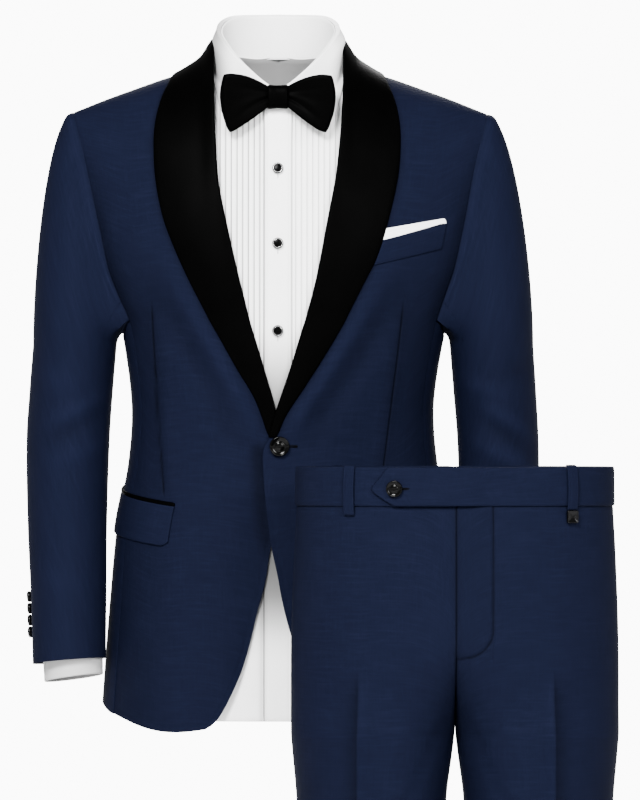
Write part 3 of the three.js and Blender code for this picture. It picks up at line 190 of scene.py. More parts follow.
class Form:
    """A chart of the body by x and c, which is 0 on the shoulder, negative in front and positive behind."""

    def __init__(self, inset, ridge_rows):
        self.inset = inset
        self.ridges = curves(ridge_rows, "x")

    def ridge(self, x, face):
        x = np.abs(x)
        return np.where(np.asarray(face) < 0, self.ridges["front"](x), self.ridges["back"](x))

    def half(self, x, z):
        return np.where(np.asarray(x) < 0, torso["west"](z), torso["east"](z)) - self.inset

    def depth(self, face, z):
        return np.where(np.asarray(face) < 0, torso["front"](z), torso["back"](z)) - self.inset

    def height(self, x, c):
        climb = 1 - np.abs(c) / RISE
        lift = np.sin(np.clip(climb, 0, 1) * PI / 2)
        return np.where(climb <= 0, CHEST + climb * RISE, CHEST + (self.ridge(x, c) - CHEST) * lift)

    def point(self, x, c):
        z = self.height(x, c)
        rise = np.sin(np.clip(1 - np.abs(c) / RISE, 0, 1) * PI / 2)
        across = np.clip(1 - (np.abs(x) / self.half(x, z)) ** SQUARE, 0, 1) ** (1 / SQUARE)
        y = np.sign(c) * self.depth(c, z) * across * np.sqrt(np.clip(1 - rise**ROUND, 0, 1))
        return points(x, y, z)

    def raised(self, x, c, lift):
        """Points that stand off the form, and its normals there."""
        normals = self.normal(x, c)
        return self.point(x, c) + normals * lift, normals

    def normal(self, x, c):
        d = 0.5
        p = self.point(x, c)

        def level(dx, dy, dz):
            z = p[..., 2] + dz
            wide = (np.abs(p[..., 0] + dx) / self.half(x, z)) ** SQUARE
            return wide + (np.abs(p[..., 1] + dy) / self.depth(c, z)) ** SQUARE

        axes = [(d, 0, 0), (0, d, 0), (0, 0, d)]
        low = points(*(level(*a) - level(*(-np.array(a))) for a in axes))
        across = self.point(x + d, c) - self.point(x - d, c)
        up = self.point(x, c + d) - self.point(x, c - d)
        below = np.abs(c)[..., None] >= RISE if np.ndim(c) else abs(c) >= RISE
        return unit(np.where(below, low, np.cross(across, up)))

    def at_height(self, x, z, face):
        x, z = np.asarray(x, float), np.asarray(z, float)
        climb = np.clip((z - CHEST) / (self.ridge(x, face) - CHEST), 0, 1)
        drop = np.where(z <= CHEST, z - CHEST, RISE * 2 * np.arcsin(climb) / PI)
        return np.sign(face) * (RISE - drop)

    def in_plan(self, x, y, face):
        z = np.zeros(np.broadcast(x, y).shape)
        for _ in range(8):
            across = np.clip(1 - (np.abs(x) / self.half(x, z)) ** SQUARE, 1e-9, 1) ** (1 / SQUARE)
            share = np.clip(np.abs(y) / (self.depth(face, z) * across), 0, 1)
            rise = (1 - share * share) ** (1 / ROUND)
            c = np.sign(face) * RISE * (1 - 2 * np.arcsin(rise) / PI)
            z = self.height(x, c)
        return c

    def side_x(self, side, c, t=SEAM_T):
        x = np.full(np.shape(c), side * 180.0)
        for _ in range(8):
            x = side * t * self.half(x, self.height(x, c))
        return x

    def side_point(self, side, turn, z):
        face = np.where(np.asarray(turn) < PI / 2, -1, 1)
        x = side * self.half(side, z) * np.sin(turn) ** (2 / SQUARE)
        return points(x, face * self.depth(face, z) * np.abs(np.cos(turn)) ** (2 / SQUARE), z)


jacket_form = Form(0, JACKET_RIDGE)
shirt_form = Form(SHIRT_EASE, SHIRT_RIDGE)


# Meshes
def grid_normals(grid, closed):
    """Unit normals of a grid of points, along the cross product of u and v."""
    if closed:
        across = np.roll(grid, -1, axis=1) - np.roll(grid, 1, axis=1)
    else:
        across = np.gradient(grid, axis=1)
    return unit(np.cross(across, np.gradient(grid, axis=0)))


def lengths(grid, axis):
    step = np.linalg.norm(np.diff(grid, axis=axis), axis=-1)
    start = np.zeros_like(np.take(step, [0], axis=axis))
    return np.concatenate([start, np.cumsum(step, axis=axis)], axis=axis)


def new_object(name, mesh, look, node=None):
    """An object with the material of its look, whose slot name is not used. It may stand in for a node of
    the model.
    """
    material, slot = look
    mesh.materials.append(material)
    obj = bpy.data.objects.new(name, mesh)
    bpy.context.collection.objects.link(obj)
    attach(obj, "root")
    if node:
        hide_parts(node)
    return obj


def new_mesh(name, vertices, faces, uvs=None, shade=None):
    """A smooth mesh of quads from arrays in millimetres, turned so that its faces point out."""
    vertices = np.asarray(vertices, float) * MM
    a, b, c, d = (vertices[faces[:, k]] for k in range(4))
    volume = np.einsum("ij,ij->i", a, np.cross(b, c)) + np.einsum("ij,ij->i", a, np.cross(c, d))
    if volume.sum() < 0:
        faces = faces[:, ::-1]
        uvs = None if uvs is None else uvs[:, ::-1]
    mesh = bpy.data.meshes.new(name)
    mesh.vertices.add(len(vertices))
    mesh.vertices.foreach_set("co", vertices.ravel())
    mesh.loops.add(faces.size)
    mesh.loops.foreach_set("vertex_index", faces.ravel().astype(np.int32))
    mesh.polygons.add(len(faces))
    mesh.polygons.foreach_set("loop_start", np.arange(0, faces.size, 4, dtype=np.int32))
    mesh.polygons.foreach_set("use_smooth", np.ones(len(faces), bool))
    if uvs is not None:
        layer = mesh.uv_layers.new(name="cloth")
        layer.data.foreach_set("uv", (uvs * MM).ravel())
    mesh.update(calc_edges=True)
    if shade is not None:
        attribute = mesh.attributes.new("shade", "FLOAT", "POINT")
        attribute.data.foreach_set("value", shade.astype(np.float32))
    mesh.validate()
    return mesh


def wall(name, outer, inner, closed=False, rim=0.5, shade=None, inner_shade=0.85):
    """The wall between two grids, with rounded rims and a UV map in metres along the cloth. Its painted
    shade is the given shade outside, the inner shade inside, and a little darker on the rims.
    """
    rows, columns = outer.shape[:2]
    size = rows * columns
    open_columns = columns if closed else columns - 1
    wrapped = np.concatenate([outer, outer[:, :1]], axis=1) if closed else outer
    u, v = lengths(wrapped, 1), lengths(wrapped, 0)
    u = u - u[:, [u.shape[1] // 2]]
    uv = np.stack([u, v], axis=-1)
    j, i = np.meshgrid(np.arange(rows - 1), np.arange(open_columns), indexing="ij")
    j, i = j.ravel(), i.ravel()
    corners = [(j, i), (j, i + 1), (j + 1, i + 1), (j + 1, i)]
    index = [a * columns + b % columns for a, b in corners]
    coords = [uv[a, b] for a, b in corners]
    faces = [np.stack(index, axis=1), np.stack([k + size for k in index[::-1]], axis=1)]
    uvs = [np.stack(coords, axis=1), np.stack(coords[::-1], axis=1)]
    vertices = [outer.reshape(-1, 3), inner.reshape(-1, 3)]
    face_shade = np.ones((rows, columns)) if shade is None else shade
    shades = [face_shade.ravel(), np.full(size, inner_shade)]
    count = 2 * size

    def add_rim(ring, inward):
        nonlocal count
        ring_j, ring_i = ring
        real_i = ring_i % columns
        near = outer[inward[0], inward[1] % columns]
        out, back = outer[ring_j, real_i], inner[ring_j, real_i]
        through = unit(out - back)
        away = out - near
        away = unit(away - through * np.einsum("ij,ij->i", away, through)[:, None])
        thick = np.linalg.norm(out - back, axis=1, keepdims=True)
        middle = (out + back) / 2 + away * thick * rim
        vertices.append(middle)
        # Rims take the face's painted shade, a little darker
        shades.append(face_shade[ring_j, real_i] * 0.95)
        n = len(ring_j)
        k = np.arange(n)
        nxt = (k + 1) % n
        a, b = ring_j[k] * columns + real_i[k], ring_j[nxt] * columns + real_i[nxt]
        faces.append(np.stack([a, count + k, count + nxt, b], axis=1))
        faces.append(np.stack([count + k, a + size, b + size, count + nxt], axis=1))
        side = uv[ring_j, ring_i]
        quad = np.stack([side[k], side[k], side[nxt], side[nxt]], axis=1)
        uvs.extend([quad, quad])
        count += n

    if closed:
        i = np.arange(columns)
        for row, inside in ((0, 1), (rows - 1, rows - 2)):
            add_rim((np.full(columns, row), i), (np.full(columns, inside), i))
            if row:
                faces[-2:] = [f[:, ::-1] for f in faces[-2:]]
    else:
        last_j, last_i = rows - 1, columns - 1
        j, i = np.arange(last_j), np.arange(last_i)
        ring_j = join(0 * i, j, 0 * i + last_j, last_j - j)
        ring_i = join(i, 0 * j + last_i, last_i - i, 0 * j)
        add_rim((ring_j, ring_i), (np.clip(ring_j, 1, rows - 2), np.clip(ring_i, 1, columns - 2)))
    return new_mesh(name, *(np.concatenate(parts) for parts in (vertices, faces, uvs, shades)))


def near_edges(grid, edges, reach):
    """1 on the named edges of a grid, falling away over the reach."""
    u, v = lengths(grid, 1), lengths(grid, 0)
    away = {"u0": u, "u1": u[:, -1:] - u, "v0": v, "v1": v[-1:] - v}
    close = np.zeros(grid.shape[:2])
    for edge in edges:
        close = np.maximum(close, bell(away[edge] / reach))
    return close


def facing_of(grid, wanted, closed=False):
    """1 where the grid's own cross product agrees with the wanted directions, or -1."""
    return 1 if np.median(np.einsum("ijk,ijk->ij", grid_normals(grid, closed), wanted)) > 0 else -1


def away_from(grid, x, y):
    """Directions in plan from an upright line."""
    return grid * [1, 1, 0] - [x, y, 0]


def outward(grid):
    return away_from(grid, *grid.reshape(-1, 3).mean(axis=0)[:2])


# How far a rim stands out, as a share of the thickness, where pieces are sewn to each other
SEWN_RIM, SHARP = 0.1, math.radians(60)
SEAM_REACH, SEAM_SHADE_REACH = 1.6, 1.4


def cloth(name, grid, thickness, look, node, facing=1, closed=False, held="draped", rests_on=(), relief=None,
          seams=(), seam_depth=0.5, seam_shade=0.25, rim=0.5, sheet=True, shade=None, inner_shade=0.85):
    """One piece of cloth whose outer face is the grid, raised by relief and sunk at its seams, with painted
    shade that is darker in the seams.

    Its facing is 1 or -1 times the grid's own cross product, or the directions that it has to agree with.
    """
    if np.ndim(facing):
        facing = facing_of(grid, facing, closed)
    normals = grid_normals(grid, closed) * facing
    outer = grid if relief is None else grid + normals * relief[..., None]
    # tone is painted shade: it darkens the cloth's colour, more so in its seams
    tone = np.ones(grid.shape[:2]) if shade is None else shade
    if seams:
        outer = outer - normals * seam_depth * near_edges(grid, seams, SEAM_REACH)[..., None]
        tone = tone * (1 - seam_shade * near_edges(grid, seams, SEAM_SHADE_REACH))
    inner = outer - normals * thickness
    mesh = wall(name, outer, inner, closed, rim, tone, inner_shade)
    if rim == SEWN_RIM:
        mesh.set_sharp_from_angle(angle=SHARP)
    obj = new_object(name, mesh, look, node)
    if sheet:
        middle = (outer + inner) / 2
        if closed:
            middle = np.concatenate([middle, middle[:, :1]], axis=1)
        width = lengths(middle, 1)[:, -1].max() * MM
        length = lengths(middle, 0)[-1].max() * MM
        e0 = middle[1:, 1:] - middle[:-1, :-1]
        e1 = middle[1:, :-1] - middle[:-1, 1:]
        area = np.linalg.norm(np.cross(e0, e1), axis=-1).sum() / 2 * MM * MM
        area = min(area, width * length)


# Materials
def node_tree(name):
    material = bpy.data.materials.new(name)
    material.use_nodes = True
    tree = material.node_tree
    return material, tree, tree.nodes["Principled BSDF"]


def link(tree, start, out, end, into):
    tree.links.new(start.outputs[out], end.inputs[into])


def set_values(node, **values):
    """Sets a node's own settings, or else its inputs, by name with _ for a space."""
    for key, value in values.items():
        if hasattr(node, key):
            setattr(node, key, value)
        else:
            node.inputs[key.replace("_", " ")].default_value = value


def add_node(tree, kind, **values):
    node = tree.nodes.new("ShaderNode" + kind)
    set_values(node, **values)
    return node


def cloth_coords(tree, scale):
    coords = add_node(tree, "UVMap", uv_map="cloth")
    mapping = add_node(tree, "Mapping", Scale=scale)
    link(tree, coords, "UV", mapping, "Vector")
    return mapping


def noise(tree, scale, detail=2.0, roughness=0.5):
    node = add_node(tree, "TexNoise", Scale=1, Detail=detail, Roughness=roughness)
    link(tree, cloth_coords(tree, scale), "Vector", node, "Vector")
    return node


def ramp(tree, source, out, stops):
    node = add_node(tree, "ValToRGB")
    elements = node.color_ramp.elements
    while len(elements) < len(stops):
        elements.new(0.5)
    for element, (at, color) in zip(elements, stops):
        element.position = at
        element.color = (*color, 1)
    link(tree, source, out, node, "Fac")
    return node


def grey(value):
    return (value, value, value)


def math_node(tree, operation, a, b):
    node = add_node(tree, "Math", operation=operation)
    for k, value in enumerate((a, b)):
        if isinstance(value, (int, float)):
            node.inputs[k].default_value = value
        else:
            tree.links.new(value, node.inputs[k])
    return node.outputs["Value"]


def mix_color(tree, blend, amount, a, b):
    node = add_node(tree, "Mix", data_type="RGBA", blend_type=blend)
    for socket, value in ((node.inputs[0], amount), (node.inputs[6], a), (node.inputs[7], b)):
        if isinstance(value, (int, float)):
            socket.default_value = value
        elif isinstance(value, tuple):
            socket.default_value = (*value, 1)
        else:
            tree.links.new(value, socket)
    return node.outputs[2]


def bump(tree, shader, height, strength, distance):
    node = add_node(tree, "Bump", Strength=strength, Distance=distance)
    tree.links.new(height, node.inputs["Height"])
    link(tree, node, "Normal", shader, "Normal")


def thread_weave(tree, pitch):
    """Height of a plain weave whose threads lie pitch apart, in metres."""
    threads = []
    for direction in "XY":
        node = add_node(tree, "TexWave", wave_type="BANDS", bands_direction=direction, wave_profile="SIN",
                        Scale=1 / (pitch * 20), Distortion=0.6, Detail=1)
        link(tree, cloth_coords(tree, (1, 1, 1)), "Vector", node, "Vector")
        threads.append(node.outputs["Fac"])
    return math_node(tree, "MULTIPLY", *threads)


def shaded(tree, color):
    """The colour times the mesh's painted shade, which is lower in seams, folds and shadowed places and
    above 1 for painted highlights.
    """
    attribute = add_node(tree, "Attribute", attribute_name="shade", attribute_type="GEOMETRY")
    return mix_color(tree, "MULTIPLY", 1.0, color, attribute.outputs["Fac"])


def make_suiting():
    material, tree, shader = node_tree("navy_suiting")
    rows = noise(tree, (26, 560, 1), 3.0, 0.6)
    columns = noise(tree, (640, 30, 1), 3.0, 0.6)
    fine = noise(tree, (900, 900, 1))
    patches = noise(tree, (18, 18, 18))
    slub = math_node(tree, "MULTIPLY", fine.outputs["Fac"], 0.3)
    for threads, part in ((rows, 0.42), (columns, 0.24)):
        lit = ramp(tree, threads, "Fac", [(0.46, grey(0)), (0.7, grey(1))])
        slub = math_node(tree, "ADD", slub, math_node(tree, "MULTIPLY", lit.outputs["Color"], part))
    base = mix_color(tree, "MIX", slub, SUITING_DARK, SUITING_LIGHT)
    tone = ramp(tree, patches, "Fac", [(0.3, (0.93, 0.93, 0.94)), (0.7, grey(1))])
    color = mix_color(tree, "MULTIPLY", 1.0, base, tone.outputs["Color"])
    tree.links.new(shaded(tree, color), shader.inputs["Base Color"])
    set_values(shader, Roughness=0.8, Specular_IOR_Level=0.035, Specular_Tint=(0.6, 0.7, 1, 1))
    height = math_node(tree, "ADD", thread_weave(tree, 0.0011), slub)
    bump(tree, shader, height, 0.3, 0.0002)
    return material


def make_satin():
    material, tree, shader = node_tree("black_satin")
    patches = noise(tree, (14, 14, 14))
    tone = ramp(tree, patches, "Fac", [(0.3, grey(0.0003)), (0.7, grey(0.0005))])
    tree.links.new(shaded(tree, tone.outputs["Color"]), shader.inputs["Base Color"])
    set_values(shader, Specular_IOR_Level=0.004)
    ribs = noise(tree, (160, 2400, 1))
    rough = ramp(tree, ribs, "Fac", [(0.3, grey(0.4)), (0.7, grey(0.47))])
    link(tree, rough, "Color", shader, "Roughness")
    bump(tree, shader, thread_weave(tree, 0.0006), 0.12, 0.0001)
    return material


def make_shirting(name, white):
    material, tree, shader = node_tree(name)
    patches = noise(tree, (30, 30, 30))
    tone = ramp(tree, patches, "Fac", [(0.3, grey(0.98 * white)), (0.7, grey(white))])
    tree.links.new(shaded(tree, tone.outputs["Color"]), shader.inputs["Base Color"])
    set_values(shader, Roughness=0.75, Specular_IOR_Level=0.2)
    fine = noise(tree, (900, 900, 1))
    height = math_node(tree, "ADD", thread_weave(tree, 0.0005), fine.outputs["Fac"])
    bump(tree, shader, height, 0.12, 0.0001)
    return material


def make_hard(name, color, roughness, specular, metallic=0.0):
    material, tree, shader = node_tree(name)
    grain = add_node(tree, "TexNoise", Scale=900)
    low, high = (tuple(c * k for c in color) for k in (0.85, 1.15))
    tone = ramp(tree, grain, "Fac", [(0.35, low), (0.65, high)])
    link(tree, tone, "Color", shader, "Base Color")
    set_values(shader, Metallic=metallic, Specular_IOR_Level=specular)
    rough = ramp(tree, grain, "Fac", [(0.3, grey(roughness * 0.85)), (0.7, grey(roughness * 1.15))])
    link(tree, rough, "Color", shader, "Roughness")
    return material


SUITING_DARK = (0.0018, 0.0024, 0.0074)
SUITING_LIGHT = (0.0039, 0.0050, 0.0138)
# A look is a material and its slot
suiting = make_suiting(), "navy_cloth"
satin = make_satin(), "black_satin"
shirting = make_shirting("white_shirting", 0.9), "white_cloth"
linen = make_shirting("white_linen", 0.93), "white_cloth"
gloss = make_hard("black_gloss", grey(0.0008), 0.09, 0.085), "black_button"
stone_black = make_hard("black_stone", grey(0.0006), 0.2, 0.03), "black_button"
metal = make_hard("dark_metal", (0.012, 0.012, 0.0125), 0.25, 0.5, 1.0), "dark_metal"
bright_metal = make_hard("grey_metal", grey(0.4), 0.25, 0.5, 1.0), "dark_metal"
shirt_thread = make_hard("white_thread", grey(0.5), 0.8, 0.1), "white_cloth"
black_thread = make_hard("black_thread", grey(0.001), 0.8, 0.02), "navy_cloth"


# Jacket edges in the front view
def edge(*rows):
    """x by c along a line down the jacket's front, from its points (x, z) in the front view."""
    rows = table("x z", *rows)
    c = jacket_form.at_height(rows["x"], rows["z"], -1)
    order = np.argsort(c)
    return fit({"c": c[order], "x": rows["x"][order]}, "c", "x")


front_edge = {
    -1: edge(
        (-79, -721), (-70, -715), (-61, -703), (-50.6, -683), (-41, -661), (-32.7, -635), (-23, -594),
        (-13.6, -559), (-7, -520), (6, -480), (14, -445), (14, -425), (8, -410), (-3, -400), (-7, -372),
        (-18.5, -328), (-36, -268), (-49, -213), (-62, -154), (-69, -119), (-73, -79), (-76, -44),
        (-78, -8.5), (-79, 21),
    ),
    1: edge(
        (68, -721), (59, -714), (50, -701), (40, -680), (27, -648), (15, -619), (5.5, -583), (-0.5, -551),
        (-7, -520), (-13.6, -468), (-16, -432), (-16, -418), (-13, -409), (-6.5, -400), (2.5, -372),
        (17.5, -326), (31.5, -280), (45.6, -228), (58, -163), (66.7, -119), (72, -79), (77, -35), (79, 0),
        (79, 21),
    ),
}
rolls = {
    -1: edge(
        (1, -402), (-2, -372), (-14.5, -327.5), (-32, -268), (-45.2, -213.4), (-58.3, -154), (-64.5, -119),
        (-67, -78.7), (-68.6, -43.6), (-69.3, -8.5), (-69.3, 33),
    ),
    1: edge(
        (-10.5, -402), (-2, -372), (13.5, -325.6), (27.5, -280), (41.6, -227.6), (54, -162.7),
        (62.2, -118.8), (66.8, -78.6), (69.6, -34.8), (70.3, 0), (69.7, 33),
    ),
}
lapels = {
    -1: edge(
        (-9, -402), (-25, -359), (-42.6, -329), (-62, -294), (-81, -259), (-97, -227.6), (-112.8, -192.5),
        (-125, -159), (-132.9, -118.8), (-135.2, -78.7), (-133.8, -57.6), (-130.2, -40), (-125, -24.2),
        (-119.9, -13.8), (-113, -2),
    ),
    1: edge(
        (-2, -402), (8.3, -378), (27.5, -348.6), (52, -310), (71.4, -276.6), (95.9, -227.6),
        (106.5, -206.5), (117, -175), (130, -118.8), (133.3, -78.7), (131.9, -53.9), (127.5, -33),
        (120.6, -15.4), (113, -2),
    ),
}
# The wearer's right front goes under the left one, from its start in x over the reach
LAP = {"depth": 5.2, "start": -62, "reach": 46}


def lap_sink(side, x):
    return LAP["depth"] * rising(x, LAP["start"], LAP["reach"]) if side < 0 else np.zeros(np.shape(x))


LABELS = {-1: "right", 1: "left"}
# Darts down the fronts, from chest to pocket, and what lies beside a dart and beside the lapel's edge: how
# far the cloth stands, and painted shade, where a negative dark is a painted highlight
DARTS = {-1: ((-138.9, -250), (-124.6, -462)), 1: ((138.6, -249), (111.9, -462))}
DART_RELIEF = table("from reach stand", (-9, 9, 0.9), (9, 10, -0.5), (0, 1.1, -0.9))
DART_SHADE = table("from reach dark", (0, 0.9, 0.6), (0, 5, 0.14))
LAPEL_RELIEF = table("from reach stand", (17, 11, 3.0), (44, 15, -3.2))
LAPEL_SHADE = table("from reach dark", (42, 14, 0.16), (15, 10, -0.14))
PAD = 2.7


def shoulder_pad(x, c):
    """The shoulder's padding lifts the cloth towards the sleeve head."""
    return PAD * rising(np.abs(x), 110, 90) * bell(c / 70)


# Soft folds: place, slope, reach up and down, reach across, and how far one stands
FRONT_FOLDS = table(
    "x z slope tall wide stand",
    (45, -450, 0.35, 14, 34, 1.3), (62, -425, -0.2, 12, 30, -1.2),
)
BACK_FOLDS = table(
    "x z slope tall wide stand",
    (60, -360, 0, 30, 45, 1.6), (70, -410, 0, 26, 50, -1.2), (150, -190, 0, 90, 22, 1),
)


def folds_relief(rows, x, z):
    total = 0
    for at_x, at_z, slope, tall, wide, stand in zip(*rows.values()):
        total = total + stand * bell((z - at_z + slope * x) / tall) * hump(x, at_x, wide)
    return total


HEM = {"cornerX": 79, "corner": -721, "sideX": 180, "side": -706, "under arm": -704, "rise": 11, "belly": 10}
# How far an edge stands off its seam: a side panel's as a turn round the side, a sleeve piece's in alpha
PANEL_GAP, SLEEVE_GAP = 0.0005, 0.0002
# Seams between pieces that lie in one surface
SEWN = {"seam_depth": 0.08, "seam_shade": 0.04, "rim": SEWN_RIM}
SEWN_SLEEVE = {**SEWN, "seam_shade": 0.03}
# Distances from a line at which the columns beside it lie
NEAR = np.array([-12, -8, -5.5, -3.8, -2.6, -1.7, -1, -0.5, 0, 0.5, 1, 1.7, 2.6, 3.8, 5.5, 8, 12])


def shares_beside(line, width, before, after):
    """Column shares of each row, close together beside a line at the given share of the row's width."""
    line, width = line[:, None], width[:, None]
    left = np.linspace(0, 1, before)[None, :-1] * (line + NEAR[0] / width)
    start = line + NEAR[-1] / width
    right = start + (1 - start) * np.linspace(0, 1, after)[None, 1:]
    return np.concatenate([left, line + NEAR / width, right], axis=1)


def dart_line(side, z):
    (x0, z0), (x1, z1) = DARTS[side]
    return lerp(x0, x1, (z - z0) / (z1 - z0))


def dart_held(side, z):
    (_, z0), (_, z1) = DARTS[side]
    share = (z - z0) / (z1 - z0)
    return smooth(share / 0.1) * falling(share, 1.02, 0.03)


def add_jacket_front(side):
    low = jacket_form.at_height(side * HEM["cornerX"], HEM["corner"], -1)
    low_side = jacket_form.at_height(side * HEM["sideX"], HEM["side"], -1)
    rows = join([0, 0.0012, 0.0026], np.linspace(0.0045, 0.997, 150), [0.9985, 1])
    inner, outer = low * (1 - rows), low_side * (1 - rows)
    edge_x = front_edge[side](inner)
    seam_x = jacket_form.side_x(side, np.minimum(outer, -0.01)) - side * SEAM
    line = np.full(len(rows), 0.6)
    for _ in range(4):
        z = jacket_form.height(lerp(edge_x, seam_x, line), lerp(inner, outer, line))
        line = np.clip((dart_line(side, z) - edge_x) / (seam_x - edge_x), 0.3, 0.82)
    s = shares_beside(line, np.abs(seam_x - edge_x), 56, 30)
    v, inner, outer = rows[:, None], inner[:, None], outer[:, None]
    c = lerp(inner, outer, s) - HEM["belly"] * np.sin(PI * s) * (1 - v) ** 4
    x = lerp(edge_x[:, None], seam_x[:, None], s)
    c = np.minimum(c, -RIDGE_GAP)
    grid, normals = jacket_form.raised(x, c, (SUITING - lap_sink(side, x))[..., None])
    z = grid[..., 2]
    from_dart = side * (x - dart_line(side, z))
    held = dart_held(side, z)
    relief = held * humps(DART_RELIEF, from_dart)
    shade = 1 - held * humps(DART_SHADE, from_dart)
    # A soft roll of cloth beside the lapel with a valley beyond it, with a painted highlight on the roll,
    # painted shade in the valley and a painted shadow under the lapel's edge, and the pull towards the
    # button
    from_lapel = side * (x - lapels[side](c))
    along = rising(z, -425, 50) * falling(z, -190, 110)
    relief += along * humps(LAPEL_RELIEF, from_lapel)
    shade *= 1 - along * humps(LAPEL_SHADE, from_lapel)
    shade *= 1 - 0.3 * hump(from_lapel, 1, 4) * rising(z, -405, 10)
    relief += folds_relief(FRONT_FOLDS, side * x, z)
    # Painted shade: the front is darker towards the side, below the chest
    shade *= 1 - 0.16 * rising(side * x, 95, 60) * falling(z, -150, 150)
    # Painted shade beside the armhole seam
    to_armhole = np.abs(seam_x[:, None] - x)
    shade *= 1 - 0.3 * bell(to_armhole / 10) * rising(z, -300, 40) * falling(z, -60, 120)
    # Long soft drape below the waist
    skirt = falling(z, -470, 120)
    broad = 1.3 * np.sin(x / 21 + 1.1) * hump(side * x, 95, 70)
    relief += skirt * (broad + 0.8 * np.sin(x / 12 + z / 130))
    relief += shoulder_pad(x, c)
    # A pressed edge runs a little inside the opening
    from_edge = side * (x - edge_x[:, None])
    pressed = falling(z, -402, 12)
    relief -= pressed * 0.35 * hump(from_edge, 5.5, 1.6)
    # Wearer's right: the shadow of the other front where it goes under
    if side < 0:
        under = x - front_edge[1](c)
        shade *= 1 - 0.5 * hump(under, -5, 9) * falling(z, -404, 10) * rising(z, -560, 60)
    cloth(f"front_{LABELS[side]}", grid, SUITING, suiting, f"jacket_front_{LABELS[side]}", normals,
          relief=relief, seams=("u1", "v1"), shade=shade, **SEWN)


def side_hem(turn):
    across = (turn - SEAM_TURN) / (PI - 2 * SEAM_TURN)
    return lerp(HEM["side"], HEM["under arm"], across) + HEM["rise"] * np.sin(PI * across) ** 1.4


def armhole_floor(form, turn):
    across = np.clip((turn - SEAM_TURN) / (PI - 2 * SEAM_TURN), 0, 1)
    if form is shirt_form:
        return np.full(np.shape(turn), float(CHEST + SHIRT_PIT))
    return CHEST - ARMPIT_DIP * np.sin(PI * across) ** 1.5


def side_normals(form, side, turn, z):
    face = np.where(turn < PI / 2, -1, 1)
    x = form.side_point(side, turn, z)[..., 0]
    return form.normal(x, face * (RISE + CHEST - z))


def add_side_panel(side):
    start = SEAM_TURN + PANEL_GAP
    turn, v = mesh_grid(np.linspace(start, PI - start, 30), np.linspace(0, 1, 120))
    z = lerp(side_hem(turn), armhole_floor(jacket_form, turn), v)
    normals = side_normals(jacket_form, side, turn, z)
    grid = jacket_form.side_point(side, turn, z) + normals * SUITING
    cloth(f"side_{LABELS[side]}", grid, SUITING, suiting, f"jacket_side_{LABELS[side]}", normals,
          seams=("u0", "u1", "v1"), **SEWN)


NECK_X, NAPE, NECK_SHARE, SHOULDER_X = 79, 12, 0.4, 225


def add_jacket_back(side):
    low = jacket_form.at_height(0, HEM["side"], 1)
    s, v = share_grid(56, 124)
    to_neck = np.clip(s / NECK_SHARE, 0, 1)
    to_sleeve = (s - NECK_SHARE) / (1 - NECK_SHARE)
    top_x = np.where(s < NECK_SHARE, NECK_X * to_neck, lerp(NECK_X, SHOULDER_X, to_sleeve))
    nape_c = jacket_form.at_height(top_x, lerp(NAPE, 16, to_neck**3), 1) * (1 - to_neck**14)
    top_c = np.maximum(np.where(s < NECK_SHARE, nape_c, 0), RIDGE_GAP)
    c = lerp(low, top_c, v)
    seam = jacket_form.side_x(side, np.maximum(c, 0.01)) - side * SEAM
    x = lerp(side * SEAM * 0.5, seam, lerp(s, top_x / SHOULDER_X, v**3))
    grid, normals = jacket_form.raised(x, c, SUITING)
    z = grid[..., 2]
    relief = folds_relief(BACK_FOLDS, side * x, z) + shoulder_pad(x, c)
    relief += 1.2 * falling(z, -470, 120) * np.sin(x / 24 + 0.7) * smooth(side * x / 40)
    cloth(f"back_{LABELS[side]}", grid, SUITING, suiting, f"jacket_back_{LABELS[side]}", normals,
          relief=relief, seams=("u0", "u1", "v1"))


# Shawl collar: v runs from the button up to the shoulder, 1, and round to the centre back, 2
LAPEL_FOOT, LAPEL_LIFT, ROLL_RADIUS = -400.8, 4.5, 2.2
COLLAR_PLAN = table(
    "turn roll edge rollZ edgeZ",
    (0, 69.5, 113, 33, -3), (30, 71, 101, 36, -17), (60, 71, 94, 40, -20), (90, 70, 89, 42, -22),
)
collar_plan = curves(COLLAR_PLAN, "turn")


def collar_base(side, s, v):
    c = jacket_form.at_height(0, LAPEL_FOOT, -1) * (1 - np.minimum(v, 1))
    c = np.minimum(c, -0.01)
    lapel = jacket_form.point(lerp(rolls[side](c), lapels[side](c), s), c)
    turn = 90 * np.maximum(v - 1, 0)
    radius = lerp(collar_plan["roll"](turn), collar_plan["edge"](turn), s)
    shoulder = jacket_form.height(radius, np.full(np.shape(radius), -0.01))
    fall = lerp(collar_plan["rollZ"](turn), collar_plan["edgeZ"](turn), np.clip(s, 0, None) ** 1.35)
    z = lerp(shoulder, fall, smooth(turn / 50))
    angle = np.radians(turn)
    behind = points(side * radius * np.cos(angle), radius * np.sin(angle), z)
    return np.where((v <= 1)[..., None], lapel, behind)


